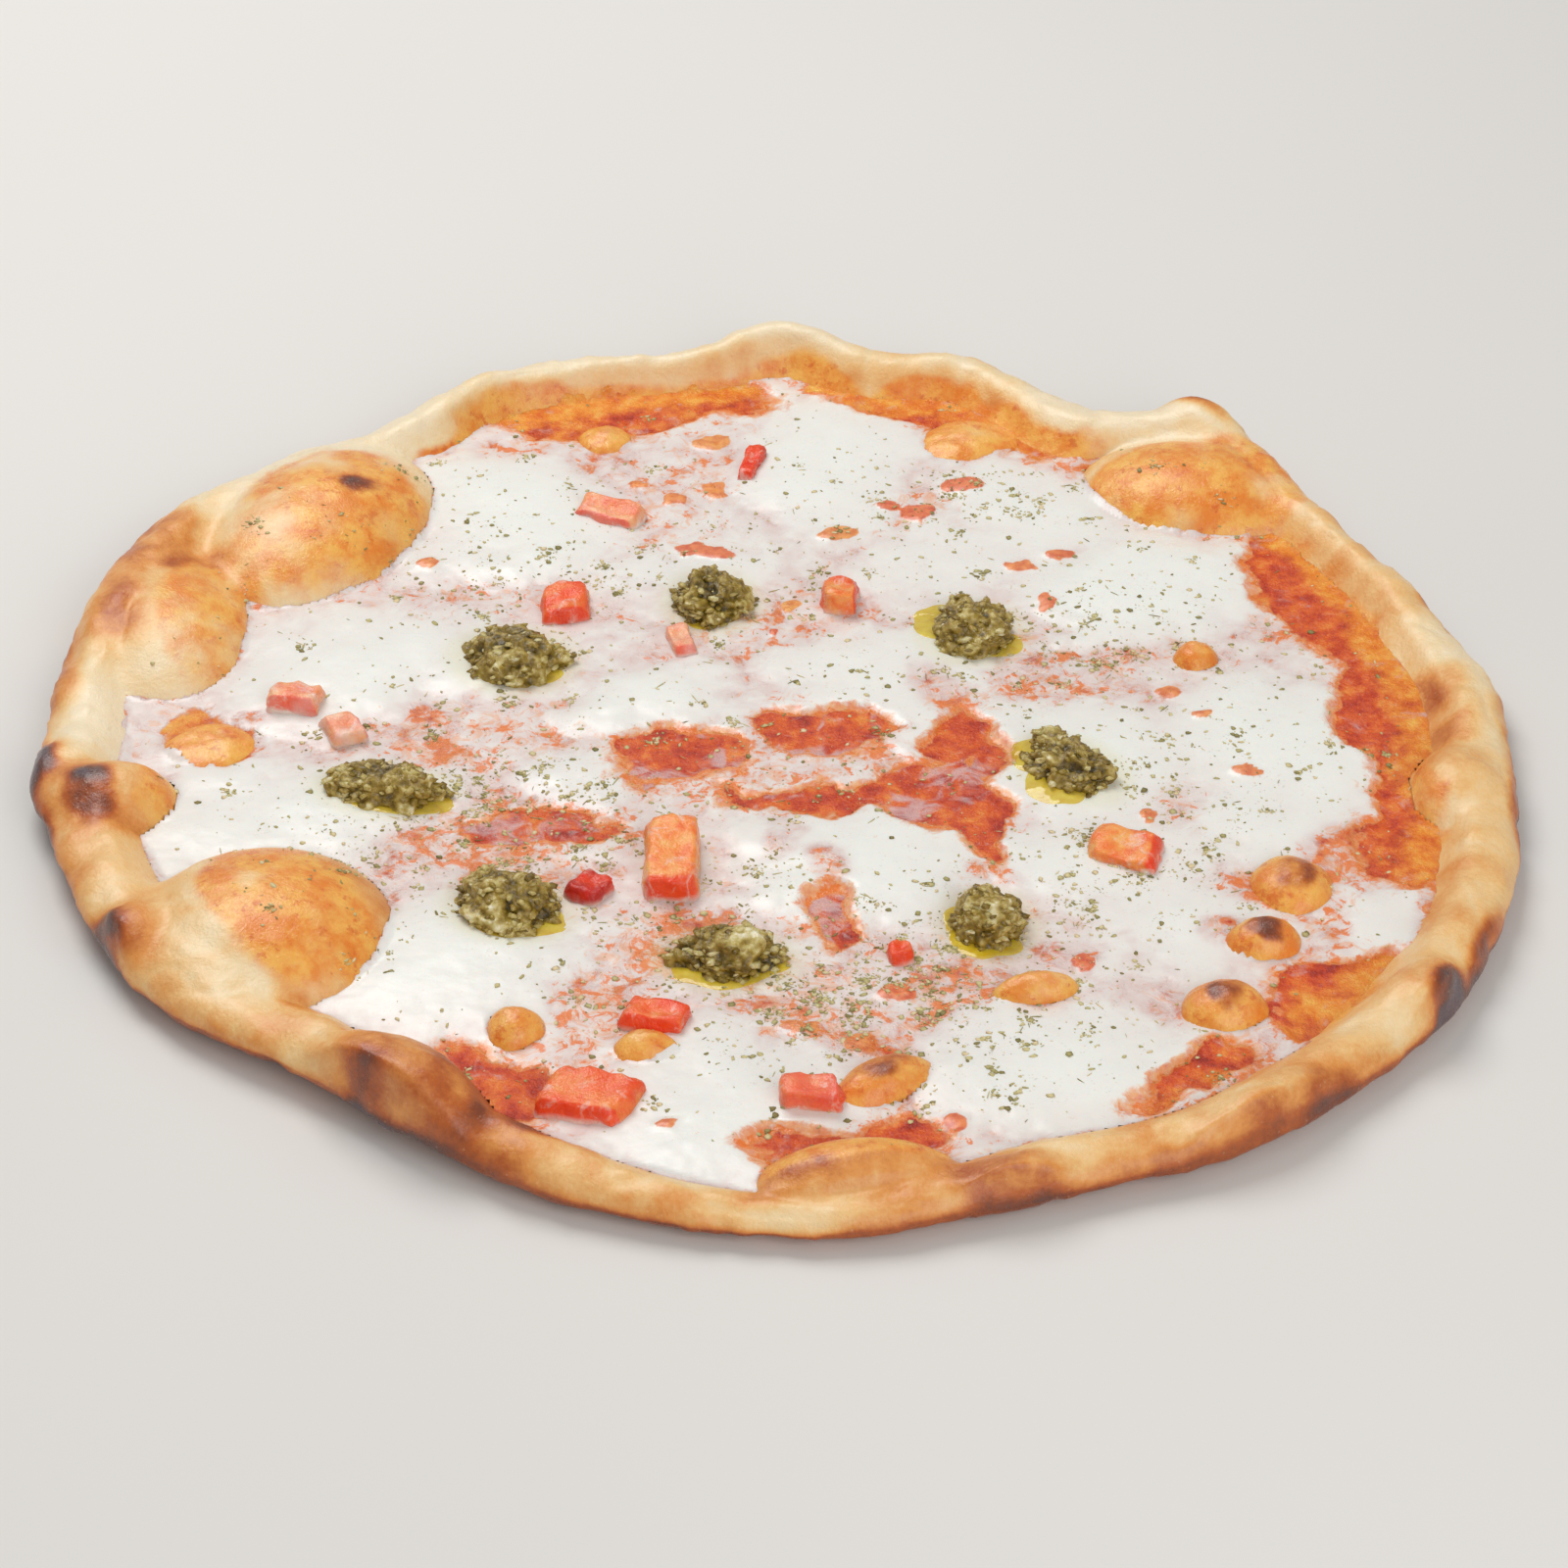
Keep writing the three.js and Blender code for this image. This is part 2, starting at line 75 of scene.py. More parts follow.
# Ovals: x, y, half of each diameter, the turn of the first one, and a height or strength
RIM_BUBBLES = [
    (-107, -75, 29, 28, 40, 18.5),
    (-109, 82, 37, 26, 62, 18.5),
    (-141, 40, 31, 21, 98, 16),
    (103, 99, 29, 20, -12, 15.5),
    (-76, -131, 24, 16, -32, 20.5),
    (-144, -31, 16, 13, 20, 16),
    (-158, -20, 9, 9, 0, 13),
    (-133, -81, 13, 10, 60, 16),
    (17, -152, 21, 10, 8, 13),
    (48, -157, 14, 9, 12, 13.5),
    (98, -137, 21, 11, 34, 15),
    (135, -101, 14, 11, 60, 14.5),
    (150, -24, 14, 10, 85, 14),
    (106, 122, 15, 10, -45, 17.5),
]

BLISTERS = [
    (111, -59, 7.5, 8, 0, 11),
    (103, -78, 7, 5.5, 10, 11.2),
    (93, -100, 7.5, 6.5, 0, 11.2),
    (-52, -107, 5.5, 5.5, 0, 10.5),
    (-25, -113, 6, 4.5, 0, 9.6),
    (23, -124, 10, 5.5, 32, 11),
    (55, -94, 8, 4, 8, 10),
    (97, 27, 4.5, 5, 0, 9.6),
    (-125, -7, 9, 8, 10, 7.6),
    (48, 122, 11, 9, 0, 8.6),
    (-41, 123, 6, 6, 0, 8),
]

# How brown each blister's top is, in the same order
BLISTER_BROWNING = [0.66, 0.76, 0.72, 0.42, 0.42, 0.66, 0.36, 0.34, 0.3, 0.28, 0.26]

MOUNDS = [
    (-63, 88, 30, 31, 20, 2.5),
    (13, 112, 24, 36, 0, 2.2),
    (64, 92, 20, 25, 20, 1.7),
    (88, 55, 32, 25, 14, 3.1),
    (112, -6, 27, 29, 0, 2.5),
    (68, -12, 27, 28, 30, 2.4),
    (72, -50, 27, 21, 0, 1.7),
    (20, -50, 29, 26, -20, 2.4),
    (20, 24, 28, 20, 0, 1.8),
    (34, 4, 9, 18, -10, 1.4),
    (-26, 10, 21, 16, 0, 2),
    (-96, 24, 33, 27, 20, 2),
    (-108, -32, 38, 21, 6, 2),
    (-66, -88, 27, 27, 0, 2.2),
    (-8, -132, 29, 30, 0, 2),
    (58, -120, 36, 22, 12, 2.2),
    (-42, -16, 15, 14, 0, 1.3),
    (88, -74, 22, 18, 0, 1.5),
    (112, -38, 24, 17, 0, 1.7),
    (40, 66, 24, 22, 0, 1.4),
    (-18, 66, 24, 24, 0, 1.1),
    (-127, -50, 15, 14, 0, 1.1),
    (128, -72, 15, 15, 0, 1.4),
]

OPENINGS = [
    (-20, -13, 17, 11, 4, 5.5),
    (14, 0, 14, 11, 0, 6),
    (35, -28, 17, 12, -35, 6),
    (44, -6, 9, 15, -12, 6),
    (8, -25, 24, 4, 4, 4),
    (46, -42, 6, 12, 10, 4.5),
    (-49, -38, 17, 7, 0, 5),
    (10, -66, 6, 11, 12, 4.5),
    (-55, -125, 14, 11, -35, 6.5),
    (14, -142, 22, 6, 4, 6),
    (-36, 139, 40, 14, 8, 7),
    (52, 137, 44, 15, -20, 7),
    (122, 100, 18, 20, 30, 8),
    (128, 58, 17, 33, 22, 8),
    (142, 6, 16, 38, 0, 8),
    (142, -32, 15, 30, -6, 8),
    (120, -93, 19, 10, 42, 7),
    (82, -123, 16, 6, 28, 6),
    (-124, -6, 12, 10, 8, 5),
]

PESTO = [
    (-59, 26, 13, 11.5, -20, 7),
    (-14, 50, 9.5, 11, 0, 7.5),
    (46, 37, 10.5, 11.5, -30, 6.5),
    (-85, -25, 13.5, 8, -6, 6),
    (66, -18, 13, 8.5, -50, 5.5),
    (-55, -67, 12.5, 10.5, -28, 7),
    (-9, -84, 13.5, 8.5, -8, 6),
    (46, -72, 8.5, 10, 0, 7),
]

# Diced tomato: x, y, length, width, height, turn and lean
TOMATO = [
    (-39, 87, 18, 9, 5, -25, 10),
    (-48, 47, 12, 12, 7, 12, 8),
    (16, 50, 9, 12, 8, -8, -6),
    (-21, 33, 6, 12, 4, 16, 0),
    (-107, 7, 13, 8, 7, -4, 0),
    (-95, -3, 9, 10, 6, 20, 6),
    (-21, -53, 13, 25, 11, 0, 9),
    (-38, -61, 9, 9, 5, -30, 0),
    (76, -48, 17, 13, 5, -24, 6),
    (-23, -104, 15, 9, 6, -16, 0),
    (-36, -130, 21, 14, 7, -14, 6),
    (8, -130, 14, 9, 7, -6, 0),
    (-5, 109, 5, 15, 4.5, -14, 0),
    (27, -83, 6, 6, 4.5, 20, 0),
]

# How red each of them is on top, in the same order
TOMATO_REDNESS = [0.3, 0.5, 0.4, 0.4, 0.35, 0.25, 0.05, 1, 0.25, 0.6, 0.45, 0.6, 0.85, 0.6]

# How much milk has run over some of them, by number
MILKY_TOMATO = {1: 0.2, 4: 0.4, 5: 0.35, 6: 0.55, 12: 0.1}

# Where the rim is browned, and above 0.9 charred: x, y, half diameters, turn, strength
BROWN_SPOTS = [
    (-98, 84, 5, 3.5, 20, 0.26),
    (-98, 84, 11, 7, 20, 0.08),
    (-133, 58, 9, 5, 40, 0.2),
    (-122, 52, 3, 5, 0, 0.22),
    (-146, 40, 9, 20, 8, 0.15),
    (-149, 36, 5, 10, 8, 0.08),
    (-148, -6, 10, 17, 0, -0.32),
    (-110, -84, 16, 20, 20, -0.14),
    (-146, 68, 6, 14, -40, 0.14),
    (-160, 12, 5, 26, 4, 0.2),
    (-130, 100, 6, 18, -50, 0.08),
    (-72, -132, 18, 12, -32, 0.2),
    (-62, -140, 10, 5, -32, 0.06),
    (-80, -134, 5, 4, -20, 0.14),
    (-90, -124, 9, 9, 0, -0.12),
    (-47, -141, 5, 4, -20, 0.16),
    (89, -140, 12, 8, 30, -0.14),
    (-147, -35, 5, 9, 10, 0.44),
    (-145, -33, 11, 15, 10, 0.22),
    (-161, -20, 5, 8, 0, 0.5),
    (-159, -42, 4, 14, 14, 0.36),
    (-138, -81, 4, 6, 30, 0.26),
    (-135, -82, 8, 10, 30, 0.16),
    (-140, -95, 6, 6, 0, 0.22),
    (-96, -102, 6, 4, -40, 0.25),
    (139, -100, 4, 6, -30, 0.44),
    (136, -97, 9, 7, 40, 0.18),
    (149, -84, 3, 12, -20, 0.34),
    (103, 125, 10, 3, -45, 0.55),
    (150, -22, 9, 11, 0, 0.17),
    (150, 12, 7, 7, 0, 0.16),
    (156, 42, 4, 12, 20, 0.22),
    (142, 72, 4, 10, 32, 0.2),
    (163, -40, 3, 14, 0, 0.3),
    (166, -6, 4, 30, 0, 0.26),
    (158, 58, 4, 20, 30, 0.24),
    (152, -6, 6, 5, 0, 0.14),
    (146, 44, 7, 6, 0, 0.16),
    (132, 92, 5, 10, 40, 0.14),
    (48, -156, 12, 6, 8, 0.22),
    (-15, -163, 14, 5, 0, 0.16),
    (6, -157, 12, 4.5, 8, 0.22),
    (-46, -142, 6, 3.5, -20, 0.22),
    (88, -146, 14, 5, 30, 0.12),
    (112, -128, 6, 5, 40, 0.14),
]

# Where sauce and oil stain the dough: x, y, half diameters, turn, strength
DOUGH_STAINS = [
    (-100, -76, 27, 17, -56, 1),
    (-105, 78, 22, 30, -20, 0.8),
    (-128, 36, 14, 27, 5, 0.75),
    (98, 92, 25, 20, 10, 0.95),
    (116, 96, 14, 18, 20, 0.9),
    (14, -146, 22, 5, 5, 0.4),
]

# Thin, speckled places where the sauce shines through the cheese
PINK_PLACES = [
    (-22, -79, 18, 12, 0, 0.9),
    (23, -99, 34, 15, 0, 0.6),
    (-37, -102, 12, 14, 0, 0.9),
    (-64, -4, 26, 12, 10, 0.8),
    (-24, 82, 16, 14, 0, 0.8),
    (-20, 104, 14, 14, 0, 0.7),
    (36, 88, 14, 12, 0, 0.7),
    (74, 30, 20, 10, 0, 0.5),
    (-60, -44, 22, 10, 0, 0.9),
    (60, 10, 20, 10, 0, 0.7),
    (96, -32, 22, 10, -10, 0.6),
    (114, -62, 20, 20, 0, 0.8),
    (-70, 52, 30, 8, 10, 0.5),
    (-44, -118, 22, 12, 0, 0.8),
    (30, -140, 40, 7, 4, 0.6),
    (0, 40, 30, 14, 0, 0.5),
    (-74, 108, 26, 9, 30, 0.6),
    (60, 118, 30, 10, -20, 0.7),
]

# Where a film of milk lies on the sauce
MILKY_PLACES = [
    (8, -13, 24, 5, 0, 1),
    (-30, -20, 14, 5, 10, 1),
    (42, -20, 9, 8, 0, 0.8),
    (-52, -37, 14, 6, 0, 0.8),
    (30, -30, 8, 5, 0, 0.8),
    (10, -66, 8, 13, 12, 0.9),
]

# Where hardly any cheese lies on the sauce
BARE_PLACES = [
    (102, -60, 6, 5, 0, 0.95),
    (124, -46, 12, 8, 30, 0.95),
    (95, -75, 6, 5, 0, 0.95),
    (38, 14, 6, 12, 30, 0.75),
    (3, -42, 5, 10, -10, 0.7),
    (12, -52, 5, 8, 20, 0.8),
    (16, -111, 15, 3.5, -24, 0.8),
    (66, 17, 9, 1.3, -34, 0.8),
    (48, -55, 7, 3, -30, 0.8),
    (34, -92, 5, 3, 0, 0.8),
    (2, -99, 8, 2.5, -20, 0.8),
    (-20, -70, 5, 5, 0, 0.6),
    (-118, 3, 8, 3, 10, 0.6),
    (142, -67, 5, 12, -20, 0.9),
]

# Scraps of tomato and of browned cheese that have sunk in: x, y, half diameters, turn, and how red they are
SCRAPS = [
    (-24, 95, 2.6, 2.8, 0, 0.5),
    (-15, 121, 5, 3, 0, 0.2),
    (-14, 99, 2.6, 3.8, 30, 0.4),
    (-33, 102, 2.2, 1.6, 0, 0.5),
    (-16, 71, 7.4, 3, -14, 0.8),
    (16, 79, 4.6, 2.4, 8, 0.3),
    (35, 89, 4, 3.6, 0, 0.9),
    (28, 91, 3.2, 2.2, 0, 0.9),
    (46, 100, 5, 3.4, 0, 0.9),
    (59, 65, 3.8, 2, 0, 0.6),
    (68, 69, 4, 2.4, 0, 0.7),
    (-81, 66, 2.8, 1.8, 20, 0.5),
    (5, 49, 2.4, 2.6, 0, 0.1),
    (64, 48, 2, 3.4, -10, 0.8),
    (1, 38, 1.4, 1.4, 0, 1),
    (90, 13, 3.2, 3, -20, 0.5),
    (97, 3, 1.9, 1.9, 0, 0.5),
    (105, -19, 3.6, 2, -20, 0.6),
    (82, -35, 1.8, 2.6, 0, 0.6),
    (65, -85, 2, 3, 0, 0.9),
    (37, -137, 2.4, 2.6, 40, 0.8),
    (26, -95, 4.2, 3, 0, 0.8),
    (6, -106, 4.6, 1.8, -16, 0.5),
    (18, -111, 3.2, 3, -40, 0.5),
    (-20, -138, 2.4, 1.6, 0, 0.6),
]

# Sauce that has dried to a golden crust
COOKED_PLACES = [
    (-36, 139, 60, 24, 8, 1),
    (52, 137, 60, 24, -20, 1),
    (-124, -6, 22, 16, 0, 1),
    (118, -94, 22, 14, 40, 0.7),
    (112, -54, 26, 16, 20, 0.9),
]

# Where dried herbs lie thickest: x, y, half diameters, turn, share
HERB_PLACES = [
    (24, -94, 40, 20, 0, 3.2),
    (-62, -28, 44, 30, 0, 1.5),
    (-24, -66, 30, 20, 0, 1.4),
    (74, -58, 34, 18, -10, 1.2),
    (80, 34, 36, 26, 0, 1.0),
    (44, 96, 34, 20, 0, 1.1),
    (-60, 66, 40, 30, 0, 0.8),
    (96, -30, 26, 30, 0, 0.9),
    (30, -118, 60, 24, 0, 0.7),
    (0, 0, 140, 140, 0, 0.55),
]

# Glossy oil that has run out from under the pesto: which spoonful, how far it lies to the right and away
# from the eater, and half diameters
OIL_POOLS = [
    (1, 3, -2, 12, 9),
    (2, 0, -2, 8, 9),
    (3, -5, 5.5, 9.5, 9),
    (3, 3, -4, 9, 7),
    (4, 4, -3.5, 12.5, 6.5),
    (5, -6, 5, 9, 9),
    (5, -3, -4.5, 8, 8.5),
    (6, 2, -3, 11, 8),
    (7, -1, -2, 13, 7),
    (8, 0, -4.5, 9, 8),
    (8, -2, -1, 9, 9),
]


# Maths on whole arrays of points

def draws(key):
    """A number between 0 and 1 for each whole-number key, the same on every run."""
    key = key & 0xFFFFFFFF
    key = ((key ^ (key >> 15)) * 0x2C1B3C6D) & 0xFFFFFFFF
    key = ((key ^ (key >> 12)) * 0x297A2D39) & 0xFFFFFFFF
    return (key ^ (key >> 15)) / 0xFFFFFFFF


def noise(points, size, seed):
    """Smooth values from -1 to 1 that change over about one size."""
    scaled = points / size
    cell = np.floor(scaled).astype(np.int64)
    part = scaled - cell
    part = part * part * (3 - 2 * part)
    count = points.shape[1]
    strides = np.array([73856093, 19349663, 83492791][:count])
    total = np.zeros(len(points))
    for corner in np.ndindex(*[2] * count):
        weight = np.prod(np.where(corner, part, 1 - part), axis=1)
        total += weight * draws((cell + corner) @ strides + seed * 974711)
    return total * 2 - 1


def rough(points, size, seed, layers=3):
    """Noise with finer and fainter noise on it."""
    total = np.zeros(len(points))
    for layer in range(layers):
        total += noise(points, size * 0.5 ** layer, seed + layer) * 0.55 ** layer
    return total


def flat(x, y):
    return np.stack([x, y], axis=1)


def ease(value):
    """0 below 0, 1 above 1 and smooth between them."""
    value = np.clip(value, 0, 1)
    return value * value * (3 - 2 * value)


def from_middle(x, y, oval):
    """0 at the middle of an oval, 1 on its edge."""
    ox, oy, half_a, half_b, turn = oval[:5]
    c, s = cos(radians(turn)), sin(radians(turn))
    dx, dy = x - ox, y - oy
    return np.hypot((dx * c + dy * s) / half_a, (dy * c - dx * s) / half_b)


def grown(ovals, margin, strength):
    """Ovals made larger on every side, all of one strength."""
    return [(ox, oy, half_a + margin, half_b + margin, turn, strength)
            for ox, oy, half_a, half_b, turn, _ in ovals]


def patches(x, y, ovals, soft=0.6):
    """The strongest of some soft-edged ovals at each point."""
    best = np.zeros_like(x)
    for oval in ovals:
        best = np.maximum(best, oval[5] * ease((1 + soft / 2 - from_middle(x, y, oval)) / soft))
    return best


def smooth_max(a, b, blend):
    overlap = np.maximum(blend - np.abs(a - b), 0) / blend
    return np.maximum(a, b) + overlap * overlap * blend / 4


# The forms

def rim_at(bearing):
    """The outline, width, crest and underside of the rim at each bearing."""
    sums = np.zeros((4, len(bearing)))
    for middle, spread, *adds in RIM_SWELLS:
        away = (bearing - middle + 540) % 360 - 180
        sums += np.outer(adds, np.exp(-((away / spread) ** 2)))
    out, rise, widen, lift = sums
    wobble = 0.7 * np.sin(np.radians(bearing * 11)) + 0.5 * np.sin(np.radians(bearing * 17 + 40))
    crest = RIM_HEIGHT + rise + 0.6 * np.sin(np.radians(bearing * 9 + 70))
    return OUTLINE_RADIUS + out + wobble, RIM_WIDTH + widen, crest, lift + 0.8


def puffed(x, y, height):
    """The dough's upper side, lifted where gas has puffed it up."""
    for bubble in RIM_BUBBLES:
        share = np.clip(1 - from_middle(x, y, bubble) ** 2, 0, 1) ** 0.65
        top = DOUGH_THICKNESS + (bubble[5] - DOUGH_THICKNESS) * share
        height = smooth_max(height, top, 5 * ease(share / 0.25) + 0.01)
    return height


def dough_top(x, y):
    """Height of the dough's upper side, inside the rim's crest."""
    outer, width, crest, _ = rim_at(np.degrees(np.arctan2(y, x)))
    share = ((outer - np.hypot(x, y)) / width - CREST_SHARE) / (1 - CREST_SHARE)
    slope = 0.5 + 0.5 * np.cos(pi * np.clip(share, 0, 1))
    return puffed(x, y, DOUGH_THICKNESS + (crest - DOUGH_THICKNESS) * slope)


def inner_share(x, y):
    """0 at the rim's crest, 1 at the foot of its inner slope, and more towards the middle."""
    outer, width, _, _ = rim_at(np.degrees(np.arctan2(y, x)))
    return ((outer - np.hypot(x, y)) / width - CREST_SHARE) / (1 - CREST_SHARE)


def ragged(x, y):
    """Points moved about, so that an oval read at them has a ragged edge."""
    spots = flat(x, y)
    wx = x + 2.4 * np.sin(y / 8 + 1.3) + 1.3 * np.sin(y / 3.7 + x / 9)
    wy = y + 2.4 * np.sin(x / 9 + 0.4) + 1.3 * np.sin(x / 4.1 - y / 8)
    return wx + 2.8 * rough(spots, 11, 3, 4), wy + 2.8 * rough(spots, 11, 13, 4)


def cheese_amount(x, y, fineness=1):
    """Thickness of the cheese over the sauce, below zero where there is none."""
    spots = flat(x, y)
    wx, wy = ragged(x, y)
    amount = np.full_like(x, SHEET_THICKNESS)
    for mound in MOUNDS:
        share = np.clip(1 - from_middle(wx, wy, mound) ** 2, 0, 1)
        amount = np.where(share > 0, smooth_max(amount, SHEET_THICKNESS + mound[5] * share ** 0.8, 1), amount)
    for opening in OPENINGS:
        share = np.clip(1 - from_middle(wx, wy, opening) ** 2, 0, 1)
        amount -= opening[5] * share ** 0.9
    thin = 1 / (1 + np.maximum(amount - 0.5, 0) * 1.4)
    amount += thin * (0.85 * noise(spots, 9, 5) + 0.8 * fineness * rough(spots, 4, 8))
    amount -= thin * 0.6 * patches(x, y, PINK_PLACES, 1.2)
    return amount + 0.25 * rough(spots, 16, 21, 2)


def blister_top(x, y):
    """Height of the blisters that stand through the cheese, and less than the sauce's height beside them."""
    height = np.zeros_like(x)
    for blister in BLISTERS:
        dome = np.clip(1 - (from_middle(x, y, blister) / 1.12) ** 2, 0, 1) ** 0.6
        height = np.maximum(height, 4.2 + (blister[5] - 4.2) * dome)
    return height


def scrap_share(x, y):
    """1 on the sunken scraps and 0 away from them, with ragged edges."""
    spots = flat(x, y)
    wx, wy = x + 0.9 * rough(spots, 3, 521, 2), y + 0.9 * rough(spots, 3, 524, 2)
    return patches(wx, wy, grown(SCRAPS, 0, 1), 0.5)


def cheese_height(x, y):
    """Upper side of the cheese: flat where it is thin, just under the sauce where it has parted, and drawn a
    little way up the dough that stands in it."""
    amount = cheese_amount(x, y, 0.2)
    over = np.maximum(amount, 0)
    level = SAUCE_LEVEL + over * over / (over + 1.6) + 0.16 * np.minimum(amount, 0) + 0.1
    level += 0.6 * scrap_share(x, y)
    dough = np.maximum(dough_top(x, y), blister_top(x, y))
    film = 0.5 + 0.6 * rough(flat(x, y), 11, 45, 2) - 0.9 * np.maximum(dough - level, 0)
    return np.maximum(level, dough + film - 2 * (1 - ease(amount / 0.6)))


def sauce_height(x, y):
    spots = flat(x, y)
    level = SAUCE_LEVEL + 0.2 * rough(spots, 9, 31) + 0.13 * rough(spots, 2.2, 35, 2)
    film = dough_top(x, y) + 0.3 + 0.25 * rough(spots, 7, 38)
    on_bubble = patches(x, y, grown(RIM_BUBBLES, 0, 1), 0.3)
    reach = ease((inner_share(x, y) - 0.55 + 0.2 * rough(spots, 10, 41)) / 0.3) * (1 - on_bubble)
    return np.maximum(level, film - 3 * (1 - reach))


def topping_height(x, y):
    """Height of whatever lies on top, sauce, cheese or dough."""
    return np.maximum(np.maximum(cheese_height(x, y), sauce_height(x, y)), dough_top(x, y))


# Meshes

def points_of(mesh):
    points = np.empty(len(mesh.vertices) * 3)
    mesh.vertices.foreach_get("co", points)
    return points.reshape(-1, 3)


def normals_of(mesh):
    normals = np.empty(len(mesh.vertices) * 3)
    mesh.vertices.foreach_get("normal", normals)
    return normals.reshape(-1, 3)


def place(mesh, points):
    """Puts a mesh's points where an array in millimetres says."""
    mesh.vertices.foreach_set("co", (points * MM).ravel())
    mesh.update()


def paint(mesh, name, values):
    """Stores a value between 0 and 1 for each point, for the finish to read."""
    layer = mesh.attributes.new(name, "FLOAT", "POINT")
    layer.data.foreach_set("value", np.clip(values, 0, 1).astype(np.float32))


def to_mesh(bm, name):
    mesh = bpy.data.meshes.new(name)
    bm.to_mesh(mesh)
    bm.free()
    return mesh


def face_up(mesh):
    """Turns a sheet over if its faces point down."""
    if normals_of(mesh)[:, 2].mean() < 0:
        mesh.flip_normals()


def hand_in(mesh, finish, slot, *nodes):
    """Makes a mesh a piece of the pizza, which stands for the solids that are named."""
    for polygon in mesh.polygons:
        polygon.use_smooth = True
    piece = bpy.data.objects.new(mesh.name, mesh)
    bpy.context.scene.collection.objects.link(piece)
    mesh.materials.append(finish)
    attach(piece, "root")
    if nodes:
        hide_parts(*nodes)


def copies(shape, count, name):
    """One mesh with a shape repeated in it, and the shape's points in millimetres for each copy."""
    single = to_mesh(shape, name + "_one")
    joined = bmesh.new()
    for _ in range(count):
        joined.from_mesh(single)
    mesh = to_mesh(joined, name)
    points = points_of(mesh).reshape(count, -1, 3)
    bpy.data.meshes.remove(single)
    return mesh, points


# The dough

def section_rows():
    """The rim's section, row by row, from the middle of the underside round to the middle of the top."""
    rows = [("under", share) for share in np.linspace(0, 1, 28)]
    rows += [("curl", share) for share in np.linspace(0.08, 0.92, 11)]
    rows += [("side", share) for share in np.linspace(0, 1, 18)]
    rows += [("slope", share) for share in np.linspace(0.04, 1, 26)]
    rows += [("base", share) for share in np.linspace(0.988, 0.62, 36)]
    rows += [("base", share) for share in (0.5, 0.25, 0)]
    return rows


def row_at(kind, share, outer, width, crest, lift):
    """Radius and height of one row at every bearing."""
    belly = lift + 0.38 * (crest - lift)
    angle = share * pi / 2
    if kind == "under":
        return (outer - width * 0.95) * share, np.zeros_like(outer)
    if kind == "curl":
        height = lift * ease(share) + (belly - lift) * (1 - cos(angle))
        return outer - 0.62 * width * (1 - sin(angle)), height
    if kind == "side":
        height = belly + (crest - belly) * sin(angle)
        return outer - CREST_SHARE * width * (1 - cos(angle)), height
    if kind == "slope":
        drop = 0.5 + 0.5 * cos(pi * share)
        radius = outer - width * (CREST_SHARE + (1 - CREST_SHARE) * share)
        return radius, DOUGH_THICKNESS + (crest - DOUGH_THICKNESS) * drop
    return (outer - width) * share, np.full_like(outer, DOUGH_THICKNESS)


def lift_share(kind, share):
    """How far the gas bubbles lift a row: wholly on top, less down the outer side."""
    if kind == "side":
        return ease(share / 0.6)
    return float(kind in ("slope", "base"))


def crease_depth(points):
    """Above 0 along thin winding lines."""
    coarse = np.maximum(0.2 - np.abs(noise(points, 30, 59)), 0)
    return coarse + np.maximum(0.12 - np.abs(noise(points, 14, 60)), 0)


